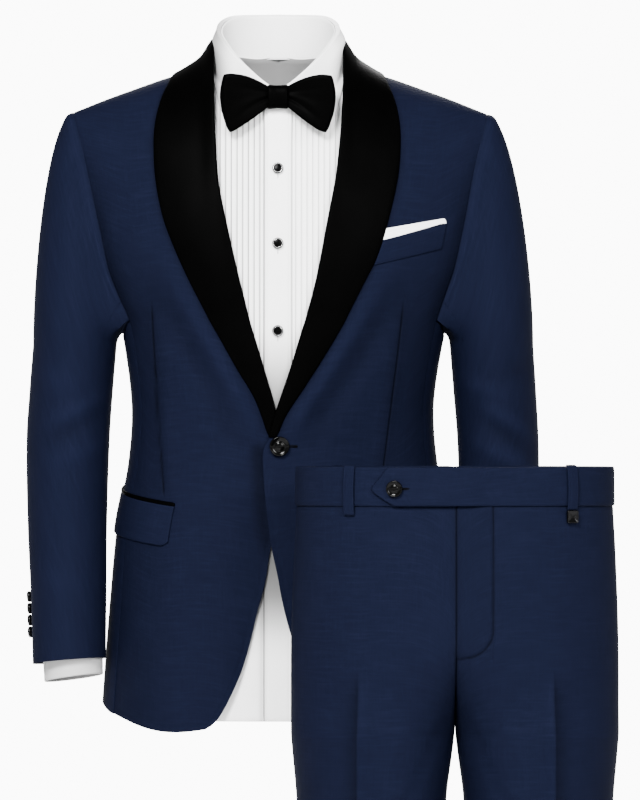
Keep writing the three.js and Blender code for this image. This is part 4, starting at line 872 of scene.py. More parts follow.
def add_shawl(side):
    across = join(np.linspace(0, 1, 30), np.linspace(1, 2, 9)[1:])
    q, v = mesh_grid(across, np.linspace(0, 1.997, 210))
    base = collar_base(side, q * 0, v)
    width = np.linalg.norm(collar_base(side, q * 0 + 1, v) - base, axis=-1)
    roll_share = ROLL_RADIUS / width
    angle = PI * np.clip(q - 1, 0, 1)
    s = np.where(q <= 1, lerp(1, roll_share, q), roll_share * (1 - np.sin(angle)))
    d = 2e-3
    onward = collar_base(side, s, v + d) - collar_base(side, s, v - d)
    sideward = collar_base(side, s + 0.02, v) - collar_base(side, np.maximum(s - 0.02, -0.02), v)
    normals = unit(np.cross(sideward, onward)) * side
    belly = np.where(q <= 1, 1.6 * np.sin(PI * np.clip(q, 0, 1)) * smooth(v / 0.2), 0)
    place = collar_base(side, s, v)
    sink = np.where(v < 1, lap_sink(side, place[..., 0]), 0)
    lift = LAPEL_LIFT + belly - ROLL_RADIUS * (1 - np.cos(angle)) - sink
    grid = place + normals * lift[..., None]
    grid[..., 0] = np.where(v > 1, side * np.maximum(side * grid[..., 0], 0.35), grid[..., 0])
    flat = np.s_[:, :25]
    facing = facing_of(grid[flat], normals[flat])
    relief = np.where(q <= 1, -0.5 * bell(q * width / 1.5), 0)
    cloth(f"shawl_{LABELS[side]}", grid, SATIN, satin, f"shawl_collar_{LABELS[side]}", facing,
          held="folded", relief=relief, rests_on=[f"front_{LABELS[side]}", f"back_{LABELS[side]}"])


# Sleeves: alpha goes round from the underarm, 0, by the front, 0.25, to the top, 0.5
SLEEVE = {
    -1: table(
        "z x y half deep",
        (-646, -229.9, -52, 40.3, 48), (-573, -231, -37, 41.8, 51.5), (-499, -232.8, -22, 43.8, 55),
        (-405, -232.4, -8, 46, 60), (-350, -229, -3, 46.2, 62), (-300, -225, -1, 46.3, 64),
    ),
    1: table(
        "z x y half deep",
        (-646, 241, -52, 40.3, 48), (-573, 243, -37, 41.8, 51.5), (-499, 244.5, -22, 43.8, 55),
        (-405, 243, -8, 45, 60), (-350, 239.5, -3, 45.8, 62), (-300, 236, -1, 46.3, 64),
    ),
}
sleeves = {side: curves(SLEEVE[side], "z") for side in SLEEVE}
FIRST_RING, ARMHOLE_STEP = -300, 1.2
CAP_TOP, CAP_UNDER, CAP_SLOPE = 86, 7, 55
SLEEVE_HEM = -648


def armhole_loop(form, side):
    def half(face):
        turn = np.linspace(PI / 2, SEAM_TURN if face < 0 else PI - SEAM_TURN, 13)
        floor = form.side_point(side, turn, armhole_floor(form, turn))
        start = RISE - SHIRT_PIT if form is shirt_form else RISE
        c = face * np.maximum(start * (1 - np.linspace(0, 1, 61)[1:]), 0.01)
        return along_line(join(floor, form.point(form.side_x(side, c), c)))

    front, back = half(-1), half(1)

    def read(alpha):
        a = alpha - np.floor(alpha)
        return np.where((a <= 0.5)[..., None], front(2 * a), back(2 * (1 - a)))

    return read


jacket_loops = {side: armhole_loop(jacket_form, side) for side in LABELS}
shirt_loops = {side: armhole_loop(shirt_form, side) for side in LABELS}


def hem_tilt(alpha):
    return SLEEVE_HEM - 4.5 * np.cos(2 * PI * (alpha - 0.62))


def sleeve_ring(side, alpha, z, inset):
    at = sleeves[side]
    angle = 2 * PI * alpha
    x = at["x"](z) - side * (at["half"](z) - inset) * np.cos(angle)
    return points(x, at["y"](z) - (at["deep"](z) - inset) * np.sin(angle), z)


def sleeve_surface(loops, side, alpha, w, inset=0):
    """A place on a sleeve, where w is 0 at the armhole seam, 1 at the first ring and 2 at the hem."""
    alpha, w = np.broadcast_arrays(np.asarray(alpha, float), np.asarray(w, float))
    lower = sleeve_ring(side, alpha, lerp(FIRST_RING, hem_tilt(alpha), np.maximum(w - 1, 0)), inset)
    height = (1 - np.cos(2 * PI * alpha)) / 2
    step = ARMHOLE_STEP + 1.1 * hump(height, 0.24, 0.17)
    start = loops[side](alpha) + points(side * step, 0, 2.4 * (1 - height) ** 6 + (0.8 + PAD) * height**4)
    end = sleeve_ring(side, alpha, FIRST_RING, inset)
    span = np.linalg.norm(end - start, axis=-1)
    reach = side * lerp(CAP_UNDER + inset, CAP_TOP * (1 - 0.06 * inset), height)
    sideward = points(reach, 0, -CAP_SLOPE * 4 * height * (1 - height) + 6)
    t = np.clip(w, 0, 1)[..., None]
    rest = 1 - t
    downward = points(0, 0, -1.05 * span)
    cap = start * (1 + 2 * t) * rest**2 + end * t**2 * (3 - 2 * t)
    cap += sideward * t * rest**2 - downward * t**2 * rest
    surface = np.where((w > 1)[..., None], lower, cap)
    # Inside the seam, where w is below 0, the cloth turns in under the body's own
    pivot = start * [0, 0, 1] + points(side * 95.0, 0, -40)
    turned = start + unit(pivot - start) * (6.0 * np.clip(-w, 0, 1))[..., None]
    return np.where((w < 0)[..., None], turned, surface)


FRONT_SPLIT = 0.13
# Soft folds of a sleeve: side, alpha and height of the middle, slope, reach round, reach up and down, stand
SLEEVE_FOLDS = table(
    "side alpha z slope round tall stand",
    (1, 0.30, -385, -150, 0.10, 9, 1.9), (1, 0.30, -404, -150, 0.10, 8, -1.6),
    (1, 0.27, -424, -110, 0.12, 10, 1.9), (1, 0.29, -446, -90, 0.10, 9, -1.3),
    (1, 0.20, -350, -80, 0.09, 11, 1.3), (1, 0.34, -330, 60, 0.09, 12, -1.0),
    (-1, 0.22, -372, -110, 0.11, 10, 1.5), (-1, 0.24, -395, -110, 0.11, 9, -1.3),
    (-1, 0.20, -420, -70, 0.12, 11, 1.3), (-1, 0.30, -340, 60, 0.10, 13, 1.0),
    (-1, 0.28, -560, 60, 0.12, 16, 0.9), (1, 0.28, -560, 60, 0.12, 16, 0.9),
    (1, 0.75, -410, 100, 0.12, 12, 1.5), (-1, 0.75, -410, -100, 0.12, 12, 1.5),
    (1, 0.72, -440, 90, 0.12, 12, -1.2), (-1, 0.72, -440, -90, 0.12, 12, -1.2),
)


def sleeve_relief(side, alpha, grid):
    z = grid[..., 2]
    total = np.zeros(z.shape)
    for fold_side, fold_alpha, fold_z, slope, reach, tall, stand in zip(*SLEEVE_FOLDS.values()):
        if fold_side == side:
            round_by = (alpha % 1) - fold_alpha
            total += stand * bell((z - fold_z - slope * round_by) / tall) * bell(round_by / reach)
    return 1.45 * total


def armhole_shade(alpha, w):
    """Painted shade along the armhole seam, darker towards the armpit than over the shoulder."""
    low = rising(np.abs((alpha % 1) - 0.5), 0.1, 0.3)
    return 1 - lerp(0.22, 0.5, low) * bell(np.maximum(w, 0) / 0.012) - 0.1 * low * bell(w / 0.05)


def fold_shade(relief):
    """Painted shade in the hollows between folds and painted light on their crests."""
    return np.clip(1 + 0.09 * relief, 0.78, 1.2)


def back_split(w):
    return lerp(0.8, 0.585, smooth(w / 2))


def add_sleeve(side):
    label = LABELS[side]
    rows = join([-1, -0.4, -0.12], np.linspace(0, 1, 42), np.linspace(1, 2, 84)[1:])
    u, w_top = mesh_grid(np.linspace(0, 1, 66), rows)
    before = lerp(FRONT_SPLIT + SLEEVE_GAP, 0.5, 2 * u)
    top = np.where(u < 0.5, before, lerp(0.5, back_split(w_top) - SLEEVE_GAP, 2 * u - 1))
    u, w_under = mesh_grid(np.linspace(0, 1, 48), rows)
    under = lerp(back_split(w_under) + SLEEVE_GAP, 1 + FRONT_SPLIT - SLEEVE_GAP, u)
    for name, node, alpha, w in (("upper", "top", top, w_top), ("lower", "under", under, w_under)):
        grid = sleeve_surface(jacket_loops, side, alpha, w)
        relief = sleeve_relief(side, alpha, grid)
        if name == "upper":
            # The cap stands up a little just outside the armhole seam
            relief += 1.2 * hump(w, 0.09, 0.06) * falling(np.abs(alpha - 0.5), 0.5, 0.2)
        shade = armhole_shade(alpha, w) * fold_shade(relief)
        cloth(f"sleeve_{name}_{label}", grid, SUITING, suiting, f"sleeve_{node}_{label}", -side, held="hung",
              relief=relief, seams=("u0", "u1"), shade=shade, **SEWN_SLEEVE)


for side in LABELS:
    add_jacket_front(side)
    add_side_panel(side)
    add_jacket_back(side)
    add_shawl(side)
    add_sleeve(side)

# Hip pockets
FLAP = {"start": 37.6, "end": 100, "drop": 44, "frontZ": -474.5, "backZ": -455, "jetting": 3.2, "corner": 15}


def pocket_band(side, top, bottom, columns, rows, lift, taper, corner=0.0):
    u, v = share_grid(columns, rows)
    turn = np.radians(lerp(FLAP["start"], FLAP["end"], u) + taper * (1 - 2 * u) * v)
    share = (turn - math.radians(FLAP["start"])) / math.radians(FLAP["end"] - FLAP["start"])
    # The lower corners are cut round
    cut = np.clip(1 - u * FLAP["corner"], 0, 1) ** 2 + np.clip(1 - (1 - u) * FLAP["corner"], 0, 1) ** 2
    z = lerp(FLAP["frontZ"], FLAP["backZ"], share) + lerp(top, bottom + corner * cut, v)
    normals = side_normals(jacket_form, side, turn, z)
    return jacket_form.side_point(side, turn, z) + normals * lift, normals, u, v


def add_hip_pocket(side):
    label = LABELS[side]
    lift, jet_thickness = SUITING + 0.7, 1.9
    grid, normals, u, v = pocket_band(side, 0, -FLAP["jetting"], 80, 7, lift + jet_thickness, 0)
    cloth(f"jetting_{label}", grid, jet_thickness, satin, f"pocket_jetting_{label}", normals,
          relief=-0.5 * (2 * v - 1) ** 2, sheet=False)
    top = -FLAP["jetting"] - 0.4
    grid, normals, u, v = pocket_band(side, top, top - FLAP["drop"] + 0.4, 64, 30, lift + SUITING, 1.4, 4.5)
    relief = 0.5 * v * np.sin(u * 9 + 0.4) - 0.4 * bell(v / 0.05)
    cloth(f"flap_{label}", grid, SUITING, suiting, f"pocket_flap_{label}", normals, relief=relief,
          rests_on=[f"side_{label}", f"front_{label}"])


for side in LABELS:
    add_hip_pocket(side)

# Breast pocket welt and the folded square above it
WELT = {"x0": 110, "x1": 177.8, "lean": 5.6, "lowZ0": -213, "lowZ1": -194.6, "rise": 27, "thickness": 1.4}
SQUARE_THICKNESS = 1.2


def welt_low(s):
    return lerp(WELT["lowZ0"], WELT["lowZ1"], s)


def welt_high(s):
    return welt_low(s) + WELT["rise"]


def on_chest(low, high, lift, columns, rows):
    s, v = share_grid(columns, rows)
    z = lerp(low(s), high(s), v)
    start = lapels[1](jacket_form.at_height(WELT["x0"], z, -1)) + 1.2
    x = lerp(start, WELT["x1"] + WELT["lean"] * v, s)
    c = jacket_form.at_height(x, z, -1)
    return *jacket_form.raised(x, c, lift), s, v


grid, normals, s, v = on_chest(welt_low, welt_high, SUITING + WELT["thickness"] + 0.4, 60, 24)
cloth("welt", grid, WELT["thickness"], suiting, "breast_pocket_welt", normals,
      relief=-0.35 * hump(v, 1, 0.1) - 0.5 * bell(v / 0.05), rests_on=["front_left"], held="folded")


def square_low(s):
    return welt_high(s) + 0.5


def square_high(s):
    return square_low(s) + lerp(12, 6, s) * (1 - 0.9 * np.clip((s - 0.94) / 0.06, 0, 1) ** 3)


grid, normals, s, v = on_chest(square_low, square_high, SUITING + SQUARE_THICKNESS + 0.4, 60, 18)
fold = -0.5 * hump(v, 0.62, 0.05) * falling(s, 0.75, 0.4)
cloth("square", grid, SQUARE_THICKNESS, linen, "pocket_square", normals, relief=fold,
      rests_on=["front_left"], held="folded")

# Shirt
NECK = {"y": -11, "half": 63.5, "deep": 68}


def neck_plan(turn, extra=0.0):
    """x and y round the neck, from the middle of the front, 0, to the middle of the back."""
    return (NECK["half"] + extra) * np.sin(turn), NECK["y"] - (NECK["deep"] + extra) * np.cos(turn)


COLLAR_TOP = table(
    "turn z",
    (0, -19), (9, -15.4), (30, 3.7), (49, 21), (65, 34.5), (90, 48), (115, 59.5), (135, 65), (180, 67),
)
LEAF_LOW = table(
    "turn z flare",
    (44, -62, 3), (60, -44, 5), (75, -12, 6.5), (90, 14, 7.5), (120, 16, 7.5), (150, 17, 7.5),
    (180, 19, 7.5),
)
collar_top = fit(COLLAR_TOP, "turn", "z")
leaf_low = curves(LEAF_LOW, "turn")
# Towards the side the shirt's hem stays further inside the jacket
SHIRT_HEM, HEM_HIDDEN = -712, 34
STAND_FOOT_BEHIND = 18.5
TUCK = {"first": 17, "pitch": 6.25, "count": 8, "height": 1.3, "low": -455, "fold": 0.38}
TUCK_EDGE = TUCK["first"] + TUCK["pitch"] * TUCK["count"]
SIDE_T = 0.999999
# Painted shade in the hollow under each tuck's fold, much stronger on the wearer's right
TUCK_SHADE = {-1: 0.86, 1: 0.4}
TUCK_HOLLOW_SHADE = table("share reach dark", (0.02, 0.1, 0.75), (1, 0.04, 0.8), (0, 0.3, 0.3))
NECK_RIDGE = math.acos(NECK["y"] / NECK["deep"])


def shirt_edge(side, c):
    t = lerp(SIDE_T, SEAM_T, falling(np.abs(c), RISE - 2, 14))
    return shirt_form.side_x(side, c, t)


def neck_c(side, x):
    y = neck_plan(np.arcsin(np.clip(x / NECK["half"], 0, 1)))[1]
    return shirt_form.in_plan(side * x, y, -1)


opening_light = fit(
    table(
        "z light", (-1000, 1), (-650, 1), (-625, 0.8), (-603, 0.42), (-580, 0.17), (-560, 0.1), (-520, 0.06),
        (-440, 0.1), (-370, 0.16), (-340, 0.32), (-310, 0.66), (-275, 1), (100, 1),
    ), "z", "light",
)


def opening_shade(z):
    """The shirt lies in the jacket's shadow above and below the front button."""
    return np.clip(opening_light(z), 0, 1)


def at_neck(x, v):
    """1 at the middle of the neckline."""
    return bell(x / 24) * rising(v, 0.93, 0.06)


def add_shirt_front(side):
    low = shirt_form.at_height(0, SHIRT_HEM, -1)
    shares = np.array([0, 0.16, 0.28, 0.34, 0.37, 0.40, 0.44, 0.5, 0.66, 0.84])
    pleated = TUCK["first"] + TUCK["pitch"] * (np.arange(TUCK["count"])[:, None] + shares).ravel()
    flat = join([0.15, 6, 12], pleated, [TUCK_EDGE])
    t_columns = np.linspace(0, 1, 26)[1:]
    x_col = join(flat, np.full(len(t_columns), TUCK_EDGE))
    t_col = join(np.zeros(len(flat)), t_columns)
    x0, v = mesh_grid(x_col, np.linspace(0, 1, 112))
    t, _ = mesh_grid(t_col, np.linspace(0, 1, 112))
    # In front of the collar stand the cloth stands higher, so that no gap shows under the tie
    front_rise = 13 * bell(x0 / 28)
    low = low + HEM_HIDDEN * smooth(t * 2.5)
    start_c = lerp(low, neck_c(side, np.minimum(x0, NECK["half"] - 1.5)) - SEAM + front_rise, v)
    c = np.where(t > 0, lerp(start_c, lerp(low, -RIDGE_GAP, v), smooth(t * 1.6)), start_c)
    x = np.where(t > 0, lerp(side * TUCK_EDGE, shirt_edge(side, c), np.sin(t * PI / 2)), side * x0)
    grid, normals = shirt_form.raised(x, c, 0)
    z = grid[..., 2]
    place = (np.abs(x) - TUCK["first"]) / TUCK["pitch"]
    share = (place - TUCK["fold"]) % 1
    pleats = smooth(place / 0.3) * falling(place, TUCK["count"], 0.3) * rising(z, TUCK["low"], 20) * (t == 0)
    tuck = TUCK["height"] * np.where(share < 0.94, (share / 0.94) ** 0.8, (1 - share) / 0.06)
    shade = 1 - TUCK_SHADE[side] * pleats * humps(TUCK_HOLLOW_SHADE, share)
    relief = tuck * pleats
    waves = 1.2 * (1 + np.sin(np.abs(x) / 14 + z / 260))
    relief -= waves * falling(z, -470, 60) * rising(np.abs(x), 22, 20)
    relief += 5.5 * at_neck(x0, v)
    # Painted shadow in a band under the bow tie
    shade *= 1 - 0.18 * hump(z, -62, 16) * falling(np.abs(x), 60, 20) * (t == 0)
    # Painted shade beside the placket's edge on the wearer's right, then the jacket's painted shadow
    placket_edge_shade = 0.35 * falling(z, -480, 60) * hump(np.abs(x), 17, 3.4) * (side < 0)
    shade *= opening_shade(z) * (1 - placket_edge_shade)
    cloth(f"shirt_{LABELS[side]}", grid, SHIRTING, shirting, f"shirt_front_{LABELS[side]}", normals,
          relief=relief, shade=shade)


def add_shirt_back():
    low = shirt_form.at_height(0, SHIRT_HEM, 1)
    signed, v = mesh_grid(np.linspace(-1, 1, 75), np.linspace(0, 1, 72))
    side = np.where(signed < 0, -1, 1)
    s = np.abs(signed)
    neck_end = 0.46
    neck_x, neck_y = neck_plan(lerp(PI, NECK_RIDGE + 0.03, np.clip(s / neck_end, 0, 1)))
    shoulder_x = abs(float(shirt_form.side_x(1, np.array(0.01))))
    top_x = np.where(s <= neck_end, neck_x, lerp(neck_x, shoulder_x, (s - neck_end) / (1 - neck_end)))
    neck_top = shirt_form.in_plan(side * neck_x, neck_y, 1)
    neck_top = np.maximum(neck_top, shirt_form.at_height(side * neck_x, 20, 1))
    top_c = np.where(s <= neck_end, np.maximum(neck_top, RIDGE_GAP), RIDGE_GAP)
    c = lerp(low - HEM_HIDDEN, top_c, v)
    right, left = (shirt_edge(k, np.maximum(c, 0.01)) for k in LABELS)
    at_side = np.abs(np.where(side < 0, right, left))
    spread = lerp(np.sin(s * PI / 2), top_x / shoulder_x, v**3)
    x = side * spread * at_side
    grid, normals = shirt_form.raised(x, c, 0)
    # Its inner face, seen inside the neck, is darkened with painted shade
    cloth("shirt_rear", grid, SHIRTING, shirting, "shirt_back", normals, inner_shade=0.21)


PLACKET = {"half": 15.1, "lift": 0.7, "thickness": 1.2, "stitch": 11.8}


def add_placket():
    low = shirt_form.at_height(0, SHIRT_HEM, -1)
    high = neck_c(1, np.array(0.0)) + 16
    s, v = share_grid(44, 112)
    x, c = lerp(-PLACKET["half"], PLACKET["half"], s), lerp(low, high, v)
    lift = PLACKET["lift"] + PLACKET["thickness"] + 7 * at_neck(x, v)
    grid, normals = shirt_form.raised(x, c, lift[..., None])
    # Painted shade along the stitching and at the placket's edges, darker at the wearer's right edge, then
    # the jacket's painted shadow
    relief = -0.3 * hump(np.abs(x), PLACKET["stitch"], 0.8)
    shade = 1 - 0.1 * hump(np.abs(x), PLACKET["stitch"], 0.9)
    for end, dark in ((-1, 0.85), (1, 0.5)):
        shade -= dark * hump(x, end * PLACKET["half"], 1.1)
    shade *= opening_shade(grid[..., 2])
    cloth("placket", grid, PLACKET["thickness"], shirting, "shirt_placket", normals, relief=relief,
          rests_on=["shirt_left", "shirt_right"], shade=shade)


def stand_foot(turn):
    x, y = neck_plan(turn, 0.8)
    face = np.where(y < 0, -1, 1)
    foot = shirt_form.height(x, shirt_form.in_plan(x, y, face))
    foot = np.minimum(foot, collar_top(np.degrees(np.abs(turn))) - 12) + 4.6
    return lerp(foot, STAND_FOOT_BEHIND, rising(np.abs(turn), 1.6, 0.6))


def wrap(turn):
    return np.where(turn > PI, turn - 2 * PI, turn)


def add_collar_stand():
    front_gap = math.radians(3)
    u, v = share_grid(140, 16)
    turn = wrap(lerp(front_gap, 2 * PI - front_gap, u))
    x, y = neck_plan(turn, lerp(0.8, -0.5, v))
    grid = points(x, y, lerp(stand_foot(turn), collar_top(np.degrees(np.abs(turn))) - 0.6, v))
    cloth("collar_stand", grid, COLLAR_CLOTH, shirting, "shirt_collar_stand", outward(grid), held="folded",
          inner_shade=1.0)


def add_collar_leaf():
    gap, fold = 8.5, 0.14
    rows = join(np.linspace(0, fold, 9), np.linspace(fold, 1, 30)[1:])
    u, v = mesh_grid(np.linspace(0, 1, 150), rows)
    turn = wrap(np.radians(lerp(gap, 360 - gap, u)))
    here = np.degrees(np.abs(turn))
    low_turn = lerp(LEAF_LOW["turn"][0], 180, np.clip((here - gap) / (180 - gap), 0, 1) ** 0.9)
    roll = np.clip(v / fold, 0, 1) * PI / 2
    fold_x, fold_y = neck_plan(turn, 4.8 - 5 * np.cos(roll))
    folded = points(fold_x, fold_y, collar_top(here) + 1.6 * np.sin(roll))
    share = np.clip((v - fold) / (1 - fold), 0, 1)
    flare = lerp(4.8, leaf_low["flare"](low_turn), share) + 1.5 * np.sin(PI * share)
    x, near = neck_plan(lerp(turn, np.sign(turn) * np.radians(low_turn), share), flare)
    x = x + np.where(x < 0, -2.6, 4) * rising(np.abs(x), 40, 24) * smooth(share / 0.3)
    hang = lerp(collar_top(here) + 1.6, leaf_low["z"](low_turn), share)
    chest = shirt_form.point(x, shirt_form.at_height(x, np.minimum(hang, -8), -1))[..., 1] - 4.2
    y = np.where(near < 0, lerp(near, np.minimum(near, chest), smooth(-hang / 8)), near)
    shoulder = shirt_form.height(x, shirt_form.in_plan(x, y, np.where(y < 0, -1, 1)))
    grid = np.where((v <= fold)[..., None], folded, points(x, y, np.maximum(hang, shoulder + 5)))
    leaf_x = grid[..., 0]
    # Painted shade towards the collar's sides, much darker on the wearer's right than on the left
    side_shade = np.where(leaf_x < 0, 0.68 * falling(leaf_x, -46, 25), 0.2 * rising(leaf_x, 58, 14))
    cloth("collar_leaf", grid, SHIRTING, shirting, "shirt_collar_leaf", outward(grid), held="folded",
          rests_on=["collar_stand"], shade=1 - side_shade)


def add_tie_band():
    u, v = mesh_grid(np.linspace(0, 1, 121)[:-1], np.linspace(0, 1, 8))
    turn = lerp(-PI + 1e-4, PI - 1e-4, u)
    here = np.degrees(np.abs(turn))
    x, y = neck_plan(turn, 2.2)
    grid = points(x, y, collar_top(here) - lerp(5.5, 14, smooth(here / 60)) - 12 * v)
    cloth("tie_band", grid, TIE_CLOTH["band"], satin, "bow_tie_band", outward(grid), closed=True,
          held="stretched", rests_on=["collar_stand"])


for side in LABELS:
    add_shirt_front(side)
add_shirt_back()
add_placket()
add_collar_stand()
add_collar_leaf()
add_tie_band()

# Bow tie
BOW = {"knotY": -90.3, "knotZ": -28.2, "half": 10, "tall": 12.8, "deep": 8.4}
WING_EDGE = {
    -1: table(
        "x top low",
        (4, -22, -35), (12, -15.8, -40.5), (32, -6.6, -55), (50, -3.3, -66), (60, -4, -68),
    ),
    1: table(
        "x top low",
        (4, -22, -35), (12, -15.8, -40.5), (28, -8.5, -53), (46, -4.4, -65), (60, -5.2, -68),
    ),
}
# Folds of a wing: share of its height at the knot and at its end, width, and how far one stands
WING_FOLDS = table(
    "start stop wide stand",
    (0.55, 0.86, 0.07, -1.7), (0.45, 0.66, 0.1, 1.2), (0.3, 0.24, 0.07, -0.9),
)
wing_end = fit(table("t x", (0, 60), (0.3, 63.6), (0.6, 62), (0.85, 57.5), (1, 54)), "t", "x")


def add_wing(side):
    edges = curves(WING_EDGE[side], "x")
    # One layer goes out to the end, and the other comes back behind it
    out, back = 0.42, 0.58
    layer, turned = np.linspace(0, out, 34), np.linspace(out, back, 13)[1:-1]
    q, t = mesh_grid(join(layer, turned, layer + back), np.linspace(0, 1, 60))
    bend = np.clip((q - out) / (back - out), 0, 1)
    reach = np.where(q < out, q / out, np.where(q > back, (1 - q) / (1 - back), 1))
    thick = 1.9 + 3.6 * smooth(reach)
    end = wing_end(t) - 5.2 - 0.8 * (bell(t / 0.03) + hump(t, 1, 0.04))
    away = lerp(6, end, reach) + 5.2 * np.sin(PI * bend)
    z = lerp(edges["top"](away), edges["low"](away), t)
    over = np.where(q <= out, -1, np.where(q >= back, 1, -np.cos(PI * bend)))
    pleat = np.where(q < 0.5, 1.3 * hump(t, 0.5, 0.16) * (1 - reach), 0)
    middle = BOW["knotY"] - 3.2 * smooth(reach * 1.4)
    # Folds fan out of the knot and fade towards the wing's end
    fan = np.where(q < 0.5, 1, 0) * smooth(reach / 0.12)
    folds = 0
    for start, stop, wide, stand in zip(*WING_FOLDS.values()):
        folds = folds + stand * hump(t, lerp(start, stop, reach), wide)
    folds = folds * fan * (1 - smooth(reach * 0.95))
    grid = points(side * away, middle + over * thick + pleat - folds, z)
    round_edge = 0.9 * (bell(t / 0.03) + hump(t, 1, 0.03))
    grid[..., 1] -= over * round_edge
    cloth(f"wing_{LABELS[side]}", grid, TIE_CLOTH["wing"], satin, f"bow_tie_wing_{LABELS[side]}", -side,
          held="folded", rests_on=["knot"])


def add_knot():
    u, v = mesh_grid(np.linspace(0, 1, 97)[:-1], np.linspace(0, 1, 30))
    angle = 2 * PI * u
    flare = 1 + 0.06 * (2 * v - 1) ** 2
    x = lerp(-BOW["half"], BOW["half"], v)
    y = BOW["knotY"] + BOW["deep"] * flare * power(np.cos(angle), 0.75)
    z = BOW["knotZ"] + BOW["tall"] * flare * power(np.sin(angle), 0.75)
    grid = points(x, y, z)
    crease = hump(v, 0.42, 0.09) * bell((np.sin(angle) + 0.2) / 0.7)
    relief = -0.5 * (crease + bell(v / 0.06) + hump(v, 1, 0.06))
    from_middle = grid - [0, BOW["knotY"], BOW["knotZ"]]
    cloth("knot", grid, TIE_CLOTH["knot"], satin, "bow_tie_knot", from_middle, closed=True, relief=relief,
          held="folded", rests_on=["tie_band"])


add_knot()
for side in LABELS:
    add_wing(side)

# Shirt sleeves and cuffs
# The cuff's colour takes painted shade outside, and darker painted shade on its inner face
CUFF = {"top": -606, "foot": -666, "inset": 7.2, "thickness": 1.6, "shade": 0.42, "inner_shade": 0.2}
cuff_plan = curves(table("z x y half deep", (-672, 4.8, -56, 32.4, 37), (-600, 2.5, -44, 34, 40)), "z")


def add_shirt_sleeve(side):
    label = LABELS[side]
    end = 1 + (FIRST_RING - CUFF["top"] - 3) / (FIRST_RING - SLEEVE_HEM)
    rows = join(np.linspace(0, 1, 26), np.linspace(1, end, 32)[1:])
    alpha, w = mesh_grid(np.linspace(0, 1, 57)[:-1], rows)
    grid = sleeve_surface(shirt_loops, side, alpha, w, CUFF["inset"])
    cloth(f"shirt_arm_{label}", grid, SHIRTING, shirting, f"shirt_sleeve_{label}", -side, closed=True,
          held="hung")
    alpha, v = mesh_grid(np.linspace(0, 1, 81)[:-1], np.linspace(0, 1, 40))
    foot = CUFF["foot"] - 5.2 * np.cos(2 * PI * (alpha - 0.6))
    z = lerp(CUFF["top"], foot, v)
    angle = 2 * PI * alpha
    x = sleeves[side]["x"](z) - side * cuff_plan["x"](z) - side * cuff_plan["half"](z) * np.cos(angle)
    grid = points(x, cuff_plan["y"](z) - cuff_plan["deep"](z) * np.sin(angle), z)
    relief = -0.3 * hump(v, 0.9, 0.012)
    cloth(f"cuff_{label}", grid, CUFF["thickness"], shirting, f"shirt_cuff_{label}", -side, closed=True,
          held="stretched", rests_on=[f"shirt_arm_{label}"], relief=relief,
          shade=np.full(z.shape, CUFF["shade"]), inner_shade=CUFF["inner_shade"])


for side in LABELS:
    add_shirt_sleeve(side)

# Trousers, about their own centre in plan
TROUSERS = {"x": 192, "y": -230, "waist": -433.5, "band": -474, "crotch": -718, "hem": -1485}
HIP_ROUND, HIP_SPREAD = 2.2, 1.65
hips = curves(
    table(
        "z half front back",
        (-1485, 176, 100, 110), (-718, 176, 102, 108), (-660, 177, 107, 113), (-600, 176.5, 108, 114),
        (-520, 173.5, 105, 110), (-474, 171, 101, 105), (-433, 170.5, 99, 100),
    ), "z",
)
legs = curves(
    table(
        "z x y half front back",
        (-1485, 86, 8, 53, 62, 66), (-1280, 88, 4, 58, 66, 72), (-1080, 89.5, 0, 66, 73, 80),
        (-900, 90, 0, 76, 86, 92), (-789, 90.2, 0, 81.3, 97, 101), (-740, 89.2, 0, 86.6, 100, 103),
        (-718, 88.9, 0, 88.6, 102, 105), (-690, 89.2, 0, 88.7, 103, 106), (-560, 91, 0, 88, 106, 108),
    ), "z",
)
CREASE = {"share": 0.553, "height": 5.5, "width": 0.036, "top": -646}
CREASE_COLUMNS = CREASE["share"] + np.array([-30, -18, -11, -6, -3, 0, 3, 6, 11, 18, 30]) / 1000
CENTRE_SHADE = table("x reach dark", (0, 1.3, 0.55), (0, 5, 0.12))
CROTCH_START = {-1: -600, 1: -560}
CROTCH_CURVE = 2.3


def trouser_surface(side, face, s, z):
    far = "front" if face < 0 else "back"
    e = 2 / HIP_ROUND
    hip_turn = PI / 2 * s**HIP_SPREAD
    hip_x = hips["half"](z) * power(np.sin(hip_turn), e)
    hip_y = face * hips[far](z) * power(np.cos(hip_turn), e)
    leg_turn = PI * s
    leg_x = legs["x"](z) - legs["half"](z) * power(np.cos(leg_turn), e)
    leg_y = legs["y"](z) + face * legs[far](z) * power(np.sin(leg_turn), e)
    low = TROUSERS["crotch"] - 4
    share = np.clip((CROTCH_START[face] - z) / (CROTCH_START[face] - low), 0, 1) ** CROTCH_CURVE
    x, y = lerp(hip_x, leg_x, share), lerp(hip_y, leg_y, share)
    fold = hump(s, CREASE["share"], CREASE["width"]) * falling(z, CREASE["top"], 90)
    y = TROUSERS["y"] + y + face * CREASE["height"] * fold
    return points(TROUSERS["x"] + side * np.maximum(x, 0.2), y, z)


FLY = {"x": 39, "top": -474, "turn": -606, "foot": -638}


def fly_path(t):
    """The stitch line of the fly: straight down, then curving in to the centre seam."""
    straight = 0.72
    bend = np.clip((np.asarray(t, float) - straight) / (1 - straight), 0, 1)
    x = FLY["x"] * np.cos(bend * PI / 2) ** 0.85 + 0.8
    fall = lerp(FLY["top"], FLY["turn"], np.clip(t / straight, 0, 1))
    return x, fall + (FLY["foot"] - FLY["turn"]) * np.sin(bend * PI / 2)


def fly_distance(x, z):
    path_x, path_z = fly_path(np.linspace(0, 1, 240))
    near = np.full(x.shape, 1e9)
    for px, pz in zip(path_x, path_z):
        near = np.minimum(near, np.hypot(x - px, z - pz))
    return near


